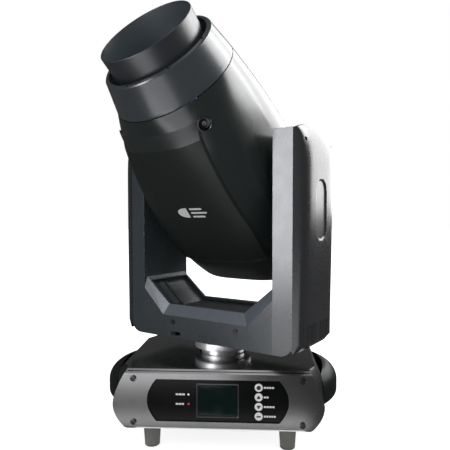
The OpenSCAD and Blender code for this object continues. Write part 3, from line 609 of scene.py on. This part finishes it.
def under_half(s):
    """Right half of the underside section, from the split line to the middle."""
    side_steps, facet_steps, panel_steps = 16, 8, 18
    split = angle_at_split(s)
    width = panel_w(s)
    edge = angle_at_x(s, width + 1.6)
    result = [section(s, split + (CREASE - split) * k / side_steps) for k in range(side_steps)]
    first, last = Vector(section(s, CREASE)), Vector(section(s, edge))
    flat = smooth_step(ease(s, 150, 70)) * smooth_step(ease(s, REAR_END, REAR_SEAM - 40))
    for k in range(facet_steps + 1):
        t = k / facet_steps
        curve = Vector(section(s, CREASE + (edge - CREASE) * t))
        result.append(tuple(curve.lerp(first.lerp(last, t), flat)))
    rise = panel_rise(s) if s > REAR_SEAM - 1 else 0.0
    for k in range(panel_steps + 1):
        x = width * (1 - k / panel_steps)
        y = section(s, angle_at_x(s, x))[1]
        result.append((x, y - rise))
    return result


def under_row(s):
    half = under_half(s)
    return half + [(-x, y) for x, y in reversed(half[:-1])]


def back_row(s, steps=88):
    split = angle_at_split(s)
    return [section(s, split + (math.pi - 2 * split) * k / steps) for k in range(steps + 1)]


def stations(low, high, step, extra=()):
    """Even places from low to high, about step apart, with any extra ones, in order."""
    count = max(1, round((high - low) / step))
    marks = {round(low + (high - low) * k / count, 3) for k in range(count + 1)}
    return sorted(marks | set(extra))


def head_sheet(name, row, places, finish_name="head"):
    rows = [row(s) for s in places]
    points = [(x, y, s) for s, line in zip(places, rows) for x, y in line]
    return make_piece(name, points, grid_faces(len(rows), len(rows[0])), finish_name, HEAD, 24.0)


def slot_cutter(size, centre, place):
    """A slot with rounded ends, drawn out along local Y."""
    w, depth, h = size
    outline = rounded([(-w / 2, -h / 2), (w / 2, -h / 2), (w / 2, h / 2), (-w / 2, h / 2)], h / 2)
    points = [(centre[0] + x, centre[1] + sign * depth / 2, centre[2] + z)
              for sign in (-1, 1) for x, z in outline]
    count = len(outline)
    faces = [list(range(count)), list(range(2 * count - 1, count - 1, -1))]
    faces += [(i, count + i, count + (i + 1) % count, (i + 1) % count) for i in range(count)]
    return make_piece("cutter", points, faces, "head", place)


def bore_cutter(radius, place, low=-30.0, high=30.0, ring=48):
    return prism("cutter", circle(radius, ring), low, high, "head", place)


# underside cover, with the raised panel, the side facets and two screw wells
under_places = stations(REAR_SEAM, SEAM - 0.4, 9.0, (RAMP_FOOT, RAMP_TOP, -118.0, REAR_SEAM + 1.5))
head_under = head_sheet("head_underside_shell", under_row, under_places)
WELL_A = math.radians(-45)
WELL_S, WELL_R = 172.0, 11.5
wells = []
for sign in (-1, 1):
    x, y = section(WELL_S, WELL_A)
    slope = Vector((sign * 0.62, -0.74, 0.26)).normalized()
    wells.append(HEAD @ turned_to(slope, Vector((sign * x, y, WELL_S)) * MM))
thicken(head_under, HEAD_WALL)
bake(head_under)
cut(head_under, [bore_cutter(WELL_R, place) for place in wells])
smooth_by_angle(head_under, 24.0)
round_edges(head_under, 0.7, 2, 24.0)
fit(head_under, "head", "head_cover_under")

head_under.data.materials.append(M["cover"])
for polygon in head_under.data.polygons:
    x, y, s = (HEAD.inverted() @ polygon.center) / MM
    if abs(x) < panel_w(s) + 1 and REAR_SEAM < s < RAMP_TOP - 0.5 and y < 0:
        polygon.material_index = 1

for label, place in zip(("left", "right"), wells):
    cup = lathe("screw_well_" + label,
                rounded([(WELL_R - 0.2, 1.5), (WELL_R + 1.6, 0.9), (WELL_R + 1.2, -0.6),
                         (WELL_R - 0.2, -1.2), (WELL_R - 0.2, -15), (0.01, -15), (0.01, -13.5),
                         (WELL_R - 1.6, -13.5), (WELL_R - 1.6, 0.6)], 0.5, 3),
                "well", place, 72)
    fit(cup, "head")
    screw = socket_screw("screw_in_well_" + label, 5.0, 4.0,
                         place @ Matrix.Translation((0, 0, -13.4 * MM)))
    fit(screw, "head")

# top cover, with vents
VENT_PITCH = 14
back_places = stations(REAR_SEAM, SEAM - 0.4, 12.0)
head_back = head_sheet("head_back_shell", back_row, back_places)
thicken(head_back, HEAD_WALL)
bake(head_back)
cut(head_back, [slot_cutter((60, 80, 5), (sign * 70, 120, -105 + VENT_PITCH * i), HEAD)
                for sign in (-1, 1) for i in range(6)])
smooth_by_angle(head_back, 30.0)
round_edges(head_back, 0.7, 2, 40.0)
fit(head_back, "head", "head_cover_back")

# rear cap, with a raised lip at its seam and a grille in its end
LIP_SCALE = 1.009
GRILLE_PITCH, GRILLE_W, GRILLE_HALF, GRILLE_CURVE = 13, 6, 84, 0.36
tail_places = [REAR_SEAM - 0.5, REAR_SEAM - 2, REAR_SEAM - 3.2] + stations(TAIL_BEND, -138, 8)[::-1]
tail_places += [-226, -230, -234, -237, -239, REAR_END]
tail_rows = [under_row(s) + back_row(s)[-2:0:-1] for s in tail_places]
tail_rows[:2] = [[(x * LIP_SCALE, y * LIP_SCALE) for x, y in row] for row in tail_rows[:2]]
ring_size = len(tail_rows[0])
tail_points = [(x, y, s) for s, row in zip(tail_places, tail_rows) for x, y in row]
tail_faces = grid_faces(len(tail_rows), ring_size, wrap=True)
for scale in (0.985, 0.90):
    start = len(tail_points)
    tail_points += [(x * scale, y * scale, REAR_END) for x, y in tail_rows[-1]]
    tail_faces += [(start - ring_size + j, start - ring_size + (j + 1) % ring_size,
                    start + (j + 1) % ring_size, start + j) for j in range(ring_size)]
tail_faces.append([start + j for j in range(ring_size)])
head_tail = make_piece("head_rear_cap", tail_points, tail_faces, "head", HEAD, 24.0)
thicken(head_tail, HEAD_WALL)
bake(head_tail)
grille = []
for i in range(-7, 8):
    x0, x1 = GRILLE_PITCH * i - GRILLE_W / 2, GRILLE_PITCH * i + GRILLE_W / 2
    y1 = GRILLE_HALF - GRILLE_CURVE * i * i
    outline = rounded([(x0, -y1), (x1, -y1), (x1, y1), (x0, y1)], GRILLE_W / 2)
    grille.append(prism("cutter", outline, REAR_END - 22, REAR_END + 14, "head", HEAD))
side_slot = rounded([(-60, -2.5), (60, -2.5), (60, 2.5), (-60, 2.5)], 2.5)
for sign in (-1, 1):
    for i in range(4):
        centre = Vector((sign * 140, 0, -165 - VENT_PITCH * i)) * MM
        grille.append(prism("cutter", side_slot, -28, 28, "head", HEAD @ upright(right, centre)))
cut(head_tail, grille)
smooth_by_angle(head_tail, 24.0)
round_edges(head_tail, 0.8, 2, 24.0)
fit(head_tail, "head", "rear_cap")

# front barrel and lens hood
BARREL_R, BARREL_S, HOOD_R, HOOD_S, HOOD_S0 = 108.0, 269.0, 90.0, 310.0, 240.2
barrel_profile = rounded([
    (SEAM_R - 4, SEAM + 0.4), (SEAM_R - 0.2, SEAM + 0.4), (SEAM_R - 1.5, SEAM + 6),
    (BARREL_R + 0.6, BARREL_S - 3), (BARREL_R, BARREL_S), (BARREL_R - 2, BARREL_S + 2.5),
    (BARREL_R - 7, BARREL_S + 4), (BARREL_R - 9, BARREL_S + 2), (BARREL_R - 9, BARREL_S - 4),
    (HOOD_R + 2, HOOD_S0 + 7), (HOOD_R + 2, HOOD_S0 - 0.2), (84, HOOD_S0 - 0.2),
    (84, HOOD_S0 - 4), (SEAM_R - 8, 232), (SEAM_R - 8, SEAM + 8)],
    [0.5, 0.9, 8, 3, 2.5, 2.5, 1.6, 1.2, 3, 1, 0.3, 0.5, 0.5, 1, 1], 4)
barrel = lathe("head_front_barrel", barrel_profile, "barrel", HEAD, 240, smooth=30.0)
cut(barrel, [bore_cutter(2.9, around(HEAD, BARREL_R - 4.6, 45 * i - 1.5),
                         BARREL_S - 0.5, BARREL_S + 12, 24) for i in range(8)])
smooth_by_angle(barrel, 30.0)
fit(barrel, "head", "front_barrel")

hood_profile = rounded([
    (80, HOOD_S0), (HOOD_R + 1.5, HOOD_S0), (HOOD_R + 1.5, HOOD_S0 + 6), (HOOD_R, HOOD_S0 + 9),
    (HOOD_R, HOOD_S), (HOOD_R - 2.4, HOOD_S), (HOOD_R - 2.5, HOOD_S0 + 4), (80, HOOD_S0 + 4)],
    [0.4, 0.4, 1, 4, 1.1, 1.1, 0.8, 0.4], 4)
hood = lathe("head_lens_hood", hood_profile, "hood", HEAD, 240, smooth=30.0)
hood.data.materials.append(M["hood_in"])
for polygon in hood.data.polygons:
    middle = HEAD.inverted() @ polygon.center
    outward = HEAD.to_3x3().transposed() @ polygon.normal
    radial = outward.x * middle.x + outward.y * middle.y
    if radial < -0.5 * math.hypot(middle.x, middle.y) and middle.z < (HOOD_S - 1.5) * MM:
        polygon.material_index = 1
fit(hood, "head", "lens_hood")


def panel_point(x, s, lift):
    """A point on the raised underside panel."""
    y = section(s, angle_at_x(s, abs(x)))[1] - panel_rise(s)
    return (x, y - lift, s)


def panel_mark(name, outlines, thickness=0.35):
    """Flat printed shapes that follow the panel."""
    points, faces = [], []
    for outline in outlines:
        count = len(outline)
        start = len(points)
        points += [panel_point(x, s, -0.4) for x, s in outline]
        points += [panel_point(x, s, thickness) for x, s in outline]
        faces.append([start + count + k for k in range(count)])
        faces.append([start + k for k in range(count - 1, -1, -1)])
        faces += [(start + k, start + (k + 1) % count, start + count + (k + 1) % count,
                   start + count + k) for k in range(count)]
    return make_piece(name, points, faces, "mark", HEAD, 30.0)


# a generic lamp-and-beams mark
MARK_X, MARK_S = 8.0, 17.0
lamp = [(MARK_X - 9, MARK_S - 12), (MARK_X - 9, MARK_S + 12)]
lamp += [(MARK_X - 13 - 21 * math.sin(math.pi * k / 24), MARK_S + 12 * math.cos(math.pi * k / 24))
         for k in range(25)]
beams = [rounded([(MARK_X - 2, MARK_S + h - 2.1), (MARK_X - 2 + w, MARK_S + h - 2.1),
                  (MARK_X - 2 + w, MARK_S + h + 2.1), (MARK_X - 2, MARK_S + h + 2.1)], 2.0, 4)
         for h, w in ((-9.6, 30), (0, 38), (9.6, 30))]
mark = panel_mark("head_mark", [lamp] + beams)
fit(mark, "head")

# ------------------------------------------------------------------ yoke arm covers

ARM_OUT, HALF_V, YOKE_Z0, YOKE_Z1 = 203.2, 73.0, 147.4, 566.5
COVER_LOW, COVER_TOP, CHAMFER_H = YOKE_Z0 + 8, YOKE_Z1 + 5.2, 16
LOUVRE_Z0, LOUVRE_Z1, LOUVRE_V, LOUVRE_PITCH = YOKE_Z0 + 20, YOKE_Z0 + 58, 52, 8.0
STEP_Z = YOKE_Z0 + 84
BULGE, TAPER = 24.8, 0.11
DOME_Z, DOME_H = 490.0, 86.0  # where the top starts to round off, and over what height
SCREW_V, SCREW_Z = 57, YOKE_Z1 - 21
GRIP_Z, GRIP_W, GRIP_H, GRIP_DEPTH = 418.5, 45.0, 115.0, 3.0


def cover_bulge(z):
    chamfer = 0.22 + 0.64 * min(1.0, max(0.0, (z - COVER_LOW) / CHAMFER_H))
    body = 0.86 + 0.14 * smooth_step((z - COVER_LOW - CHAMFER_H) / 230)
    top = math.sqrt(max(0.0, 1 - max(0.0, (z - DOME_Z) / DOME_H) ** 2.5))
    return BULGE * (chamfer if z < COVER_LOW + CHAMFER_H else body) * top


def grip_inset(v, z):
    """How far inside the edge of the grip dish a place is; negative outside it."""
    along = max(0.0, abs(z - GRIP_Z) - (GRIP_H - GRIP_W) / 2)
    return GRIP_W / 2 - math.hypot(v, along)


def cover_dip(v, z):
    """Depth below the smooth outer face: the grip dish, the louvres and the step above them."""
    inside = grip_inset(v, z)
    dip = GRIP_DEPTH * smooth_step((inside + 1.0) / 2.6)
    if LOUVRE_Z0 < z < LOUVRE_Z1 and abs(v) < LOUVRE_V:
        fade = smooth_step((z - LOUVRE_Z0) / 3) * smooth_step((LOUVRE_Z1 - z) / 3)
        dip += 1.5 * fade * smooth_step(0.5 + 1.6 * math.cos(2 * math.pi * v / LOUVRE_PITCH))
    if z < STEP_Z:
        dip += 0.7 * smooth_step((STEP_Z - z) / 2) * smooth_step((60 - abs(v)) / 4)
    return dip


def cover_point(theta, z, side_sign):
    c, d = math.cos(theta), math.sin(theta)
    v = HALF_V * math.copysign(abs(c) ** (1 / 3), c)
    out = cover_bulge(z) * max(0.0, d) ** (1 / 3)
    v *= 1 - TAPER * out / BULGE
    out -= cover_dip(v, z) * smooth_step((out - 8) / 6)
    arch = 10 - 15.5 * abs(v / 70) ** 1.6
    z += arch * max(0.0, (z - DOME_Z) / (COVER_TOP - DOME_Z)) ** 2
    return (side_sign * (ARM_OUT + out), v, z)


def spread_angles(count):
    """Angles round the cover's section that put its points at even spacing."""
    fine_steps = 4000
    fine = [math.pi * (1 - k / fine_steps) for k in range(fine_steps + 1)]
    places = [Vector(cover_point(a, 330.0, 1)) for a in fine]
    length = [0.0]
    for a, b in zip(places, places[1:]):
        length.append(length[-1] + (b - a).length)
    result, k = [], 0
    for i in range(count):
        goal = length[-1] * i / (count - 1)
        while k < fine_steps and length[k] < goal:
            k += 1
        result.append(fine[k])
    return result


def arm_cover(hand, side_sign):
    angles = spread_angles(118)
    levels = stations(COVER_LOW, COVER_LOW + CHAMFER_H, 4)
    levels += stations(YOKE_Z0 + 26, YOKE_Z0 + 90, 2)
    levels += stations(YOKE_Z0 + 96, GRIP_Z - 62, 8)
    levels += stations(GRIP_Z - 60, GRIP_Z - 34, 1.7) + stations(GRIP_Z - 30, GRIP_Z + 30, 6)
    levels += stations(GRIP_Z + 34, GRIP_Z + 60, 1.7) + stations(GRIP_Z + 64, YOKE_Z1 - 16, 5)
    levels += stations(YOKE_Z1 - 13, COVER_TOP, 1.6)
    points = [cover_point(a, z, side_sign) for z in levels for a in angles]
    count = len(angles)
    faces = grid_faces(len(levels), count)
    for row, z in ((0, levels[0]), (len(levels) - 1, levels[-1])):
        start = len(points)
        points += [(side_sign * ARM_OUT, points[row * count + j][1], points[row * count + j][2])
                   for j in range(count)]
        faces += [(row * count + j, row * count + j + 1, start + j + 1, start + j)
                  for j in range(count - 1)]
    name = "arm_cover_shell_" + hand
    cover = make_piece(name, points, faces, "arm", YOKE, 28.0)
    weld = cover.modifiers.new("weld", "WELD")
    weld.merge_threshold = 0.02 * MM
    thicken(cover, COVER_WALL)
    bake(cover)
    cut(cover, [bore_cutter(3.6, YOKE @ upright(right, Vector((side_sign * 215, v, SCREW_Z)) * MM))
                for v in (-SCREW_V, SCREW_V)])
    smooth_by_angle(cover, 28.0)
    # faces inside the grip dish take the painted light grey
    cover.data.materials.append(M["grip"])
    for polygon in cover.data.polygons:
        middle = YOKE.inverted() @ polygon.center / MM
        if abs(middle.x) > ARM_OUT + 1.8 and grip_inset(middle.y, middle.z) > 1.6:
            polygon.material_index = 1
    round_edges(cover, 0.6, 2, 38.0)
    fit(cover, "yoke", "arm_cover_" + hand)
    for label, v in (("front", -SCREW_V), ("rear", SCREW_V)):
        seat = Vector((side_sign * 211, v, SCREW_Z)) * MM
        screw = socket_screw(name + "_screw_" + label, 3.1, 2.4,
                             YOKE @ turned_to(side_sign * right, seat))
        fit(screw, "yoke")


arm_cover("right", 1)
arm_cover("left", -1)

# ------------------------------------------------------------------ control panel details

panel_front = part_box("control_panel")[0].y
window_low, window_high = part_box("display_window")
PANEL_Z = (window_low.z + window_high.z) / 2 / MM
FRONT = upright(ahead, Vector((0, panel_front, PANEL_Z * MM)))


def box_outline(x, y, w, h, r=0.0, steps=4):
    corners = [(x - w / 2, y - h / 2), (x + w / 2, y - h / 2), (x + w / 2, y + h / 2),
               (x - w / 2, y + h / 2)]
    return rounded(corners, r, steps) if r else corners


def display_frame():
    """A thin lip round the window with a wide chamfer that runs down to the glass."""
    w = (window_high.x - window_low.x) / MM
    h = (window_high.z - window_low.z) / MM
    levels = [(w + 7.4, h + 7.4, 1.9, -0.3), (w + 7.4, h + 7.4, 1.9, 0.5),
              (w + 6.4, h + 6.4, 1.4, 1.1), (w + 5.0, h + 5.0, 0.9, 1.1),
              (w + 0.2, h + 0.2, 0.6, -0.9), (w + 0.2, h + 0.2, 0.6, -2.0)]
    rings = [[(x, y, z) for x, y in box_outline(0, 0, a, b, r, 4)] for a, b, r, z in levels]
    points = [p for ring in rings for p in ring]
    count = len(rings[0])
    faces = grid_faces(len(rings), count, wrap=True)
    last = (len(rings) - 1) * count
    faces += [(last + k, last + (k + 1) % count, (k + 1) % count, k) for k in range(count)]
    return make_piece("display_frame", points, faces, "frame", FRONT, 25.0)


fit(display_frame(), "base")

for label in ("menu", "up", "down", "enter"):
    low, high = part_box("button_" + label)
    centre = (low + high) / 2
    place = upright(ahead, Vector((centre.x, low.y, centre.z)))
    cap = lathe("key_cap_" + label, rounded([
        (0.01, -0.5), (3.9, -0.5), (4.6, 0.0), (6.6, 0.0), (7.7, -1.0), (7.7, -5.9),
        (0.01, -5.9)], [0, 0.3, 0.5, 0.9, 0.7, 0.2, 0], 4), "white", place, 72)
    shape = {
        "menu": circle(4, 32),
        "up": rounded([(-4.3, -2.8), (4.3, -2.8), (0, 4.2)], 0.5, 3),
        "down": rounded([(-4.3, 2.8), (0, -4.2), (4.3, 2.8)], 0.5, 3),
        "enter": rounded([(-4.6, -1.5), (4.6, -1.5), (4.6, 1.5), (-4.6, 1.5)], 0.5, 3),
    }[label]
    symbol = prism("key_symbol_" + label, shape, -0.9, -0.3, "symbol", place)
    fit(cap, "key_" + label, "button_" + label)
    fit(symbol, "key_" + label)


def dash_row(x, z, widths):
    """A row of plain bars that stands for a printed label."""
    shapes = []
    for w in widths:
        shapes.append(box_outline(x + w / 2, z, w, 3.4, 0.5, 2))
        x += w + 0.9
    return shapes


label_bars = []
for label, widths in (("menu", (4.6, 3.6, 4.0, 4.4)), ("up", (4.0, 4.0)),
                      ("down", (4.2, 4.4, 4.8, 4.2)), ("enter", (3.6, 4.2, 3.6, 3.6, 4.0))):
    low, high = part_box("button_" + label)
    z = ((low.z + high.z) / 2) / MM - PANEL_Z
    label_bars += dash_row(((low.x + high.x) / 2) / MM + 9.6, z, widths)
led_low, led_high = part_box("status_leds")
LED_X = (led_low.x + led_high.x) / 2 / MM
LED_R = 2.6
LED_Z = [led_high.z / MM - LED_R - PANEL_Z, led_low.z / MM + LED_R - PANEL_Z]
label_bars += dash_row(LED_X - 24.5, LED_Z[0], (5.2, 5.6, 5.0))
label_bars += dash_row(LED_X - 24.5, LED_Z[1], (4.6, 4.8, 4.6))
fit(joined("panel_marks", [prism("mark", bar, -0.2, 0.15, "mark", FRONT) for bar in label_bars]),
    "base")

for label, z, finish_name in (("power", LED_Z[0], "led_white"), ("fault", LED_Z[1], "led_red")):
    dome = lathe("led_dome_" + label, [(0.01, 1.2), (0.7, 1.1), (1.3, 0.75), (1.65, 0.2),
                                       (1.7, -0.4), (0.01, -0.4)],
                 finish_name, FRONT @ Matrix.Translation((LED_X * MM, z * MM, 0)), 36, smooth=50.0)
    fit(dome, "base")

# screws on both end plates, set in their recesses
screw_low, screw_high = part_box("base_screws")
PLATE_SCREW_R, PLATE_SCREW_SET = 5 * MM, 1.4 * MM
for y, direction in ((screw_low.y, ahead), (screw_high.y, -ahead)):
    for x in (screw_low.x + PLATE_SCREW_R, screw_high.x - PLATE_SCREW_R):
        for z in (screw_low.z + PLATE_SCREW_R, screw_high.z - PLATE_SCREW_R):
            label = (("f" if direction.y < 0 else "r") + ("l" if x < 0 else "r")
                     + ("d" if z < 50 * MM else "u"))
            seat = Vector((x, y, z)) - direction * PLATE_SCREW_SET
            screw = socket_screw("plate_screw_" + label, 4.6, 2.2,
                                 turned_to(direction, seat), "plate_screw")
            fit(screw, "base", "base_screws" if label == "flu" else None)

# rubber feet with a rounded tread and a moulded step
foot_low, foot_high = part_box("rubber_feet")
FOOT_R = 17.5
foot_profile = rounded([(0.01, 1.2), (8, 0.6), (13.4, 0), (14.9, 1.6), (17.3, 43.5), (18.0, 44.6),
                        (18.0, 49.2), (0.01, 49.6)], [0, 1, 1.2, 1.5, 1.0, 0.8, 0.6, 0], 4)
for x in (foot_low.x + FOOT_R * MM, foot_high.x - FOOT_R * MM):
    for y in (foot_low.y + FOOT_R * MM, foot_high.y - FOOT_R * MM):
        label = ("front" if y < 0 else "rear") + ("_left" if x < 0 else "_right")
        foot = lathe("foot_" + label, foot_profile, "foot",
                     Matrix.Translation((x, y, foot_low.z)), 72)
        fit(foot, "base", "rubber_feet" if label == "front_left" else None)

# rear sockets: inserts and pins
socket_low, socket_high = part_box("signal_connectors")
SOCKET_Z = (socket_low.z + socket_high.z) / 2 / MM
REAR_Y = 141.0
SIGNAL_X, MAINS_X = (-92, -58, 12, 46), (-130, 92)
PIN_ANGLES = (90, 210, 330)
inserts, pins, lugs = [], [], []


def socket_place(x):
    return upright(-ahead, Vector((x, REAR_Y, SOCKET_Z)) * MM)


def flange_lugs(place):
    """The two flange screws of a socket, in opposite corners."""
    return [socket_screw("lug", 1.9, 1.2, place @ Matrix.Translation((x * MM, y * MM, 2.1 * MM)))
            for x, y in ((-9.6, 12.4), (9.6, -12.4))]


for x in SIGNAL_X:
    place = socket_place(x)
    inserts.append(lathe("insert", rounded([(0.01, -4.5), (7.2, -4.5), (8.2, -5.5), (8.2, -10),
                                            (0.01, -10)], [0, 0.4, 0.4, 0.2, 0], 3),
                         "socket_black", place, 48))
    pins += [lathe("pin", rounded([(0.01, 0.5), (1.2, 0.5), (1.2, -5), (0.01, -5)],
                                  [0, 0.7, 0, 0], 4), "alu", around(place, 4.6, angle), 20)
             for angle in PIN_ANGLES]
    lugs += flange_lugs(place)
blade = box_outline(0, 0, 1.4, 4.4, 0.3, 2)
for x in MAINS_X:
    place = socket_place(x)
    lugs += flange_lugs(place)
    pins += [prism("pin", blade, -8, -2, "alu",
                   around(place, 5.4, angle) @ Matrix.Rotation(math.radians(angle), 4, "Z"))
             for angle in PIN_ANGLES]
for name, parts, slot_name in (("socket_inserts", inserts, "signal_socket"),
                               ("socket_pins", pins, "bare_aluminium"),
                               ("socket_lugs", lugs, "screw_steel")):
    fit(joined(name, parts), "base")

# rounded edges on the nodes that stay
for name, width in (("front_bezel", 1.2), ("rear_panel", 1.0),
                    ("base_top_cover", 0.6), ("side_cover_left", 0.8),
                    ("side_cover_right", 0.8), ("handle_left", 0.8), ("handle_right", 0.8),
                    ("pan_collar", 0.7), ("control_panel", 0.3), ("pan_lock", 0.5),
                    ("heat_sink", 0.2), ("fan_frame", 0.5)):
    soften(nodes[name], width)

# ------------------------------------------------------------------ stage

FLOOR_Z = -0.050
CARD_Z = -0.045  # the low cards lie just above the floor and shine straight up

def soft_box(name, place, target, size_x, size_y, radiance, colour=(1, 1, 1), matt=False):
    """A studio panel of a given brightness; most show only as highlights on glossy surfaces."""
    data = bpy.data.lights.new(name, "AREA")
    data.shape = "RECTANGLE"
    data.size = size_x
    data.size_y = size_y
    data.energy = radiance * math.pi * size_x * size_y
    data.color = colour
    lamp = linked(name, data)
    lamp.location = place
    lamp.rotation_euler = (Vector(target) - Vector(place)).to_track_quat("-Z", "Y").to_euler()
    lamp.visible_diffuse = matt
    lamp.visible_camera = False


def build_floor():
    """Pale plain floor that reads darker in reflections, so black parts keep their contrast."""
    mesh = bpy.data.meshes.new("floor")
    rim = [(x, y, FLOOR_Z) for x, y in circle(30.0, 96)]
    mesh.from_pydata(rim, [], [list(range(len(rim)))])
    floor = linked("floor", mesh)
    mat, tree, shader = new_material("pale_floor")
    shader.inputs["Base Color"].default_value = (0.86, 0.86, 0.86, 1)
    shader.inputs["Roughness"].default_value = 0.8
    shader.inputs["Specular IOR Level"].default_value = 0.1
    shader.inputs["Emission Color"].default_value = (1, 1, 1, 1)
    shader.inputs["Emission Strength"].default_value = 0.80
    dim = add_node(tree, "ShaderNodeBsdfDiffuse")
    path = add_node(tree, "ShaderNodeLightPath")
    tree.links.new(mix_colour(tree, path.outputs["Is Diffuse Ray"], (0.10, 0.10, 0.10),
                              (0.60, 0.60, 0.62)), dim.inputs["Color"])
    blend = add_node(tree, "ShaderNodeMixShader")
    tree.links.new(path.outputs["Is Camera Ray"], blend.inputs["Fac"])
    tree.links.new(dim.outputs["BSDF"], blend.inputs[1])
    tree.links.new(shader.outputs["BSDF"], blend.inputs[2])
    tree.links.new(blend.outputs["Shader"], tree.nodes["Material Output"].inputs["Surface"])
    mesh.materials.append(mat)


def build_world():
    """White to the camera, an even fill to matt surfaces and dim to reflections."""
    world = bpy.data.worlds.new("studio")
    bpy.context.scene.world = world
    world.use_nodes = True
    tree = world.node_tree
    background = tree.nodes["Background"]
    background.inputs["Color"].default_value = (1, 1, 1, 1)
    path = add_node(tree, "ShaderNodeLightPath")
    total = None
    for ray, level in (("Is Camera Ray", 1.0), ("Is Diffuse Ray", 0.85), ("Is Glossy Ray", 0.07),
                       ("Is Transmission Ray", 0.3)):
        term = add_node(tree, "ShaderNodeMath", operation="MULTIPLY_ADD")
        tree.links.new(path.outputs[ray], term.inputs[0])
        term.inputs[1].default_value = level
        term.inputs[2].default_value = 0.0
        if total:
            tree.links.new(total, term.inputs[2])
        total = term.outputs[0]
    tree.links.new(total, background.inputs["Strength"])


def build_camera():
    """The camera fitted to the corners of the base, yoke and head in the photo."""
    data = bpy.data.cameras.new("camera")
    data.lens = 37.5
    data.sensor_width = 36.0
    data.shift_x = -0.0191
    data.shift_y = 0.0311
    camera = linked("camera", data)
    camera.location = (0.0772, -1.0133, 0.3955)
    camera.rotation_euler = (math.radians(87.93), 0, math.radians(3.054))
    bpy.context.scene.camera = camera


build_floor()
build_world()
build_camera()
soft_box("left_front", (-1.43, -1.41, 0.61), (0.12, -0.157, 0.42), 0.55, 1.25, 20,
         (0.97, 0.965, 1.0))
soft_box("right", (1.58, 0.22, 1.74), (0, 0, 0.65), 1.05, 1.12, 11)
soft_box("right_back", (1.15, 1.11, 1.35), (0, 0, 0.96), 1.5, 1.85, 5.6)
soft_box("front_card", (-0.375, -1.51, CARD_Z), (-0.375, -1.51, 1.0), 0.85, 1.58, 2.6,
         (0.95, 0.95, 1.0))
soft_box("bezel_card", (-0.34, -0.62, CARD_Z), (-0.34, -0.62, 1.0), 0.66, 0.21, 4.6)
soft_box("low_card", (-0.04, -0.285, CARD_Z), (-0.04, -0.285, 1.0), 0.46, 0.05, 3.5)
soft_box("under_card", (0, -0.12, CARD_Z - 0.001), (0, -0.12, 1.0), 0.34, 0.10, 3.0)
soft_box("edge_card", (-0.17, -0.75, 2.1), (0, -0.14, 0.11), 0.9, 0.5, 2.2)
soft_box("top", (-0.3, -0.7, 2.2), (0, 0, 0.4), 1.4, 1.4, 0.8, matt=True)
bpy.context.scene.view_settings.view_transform = "Standard"
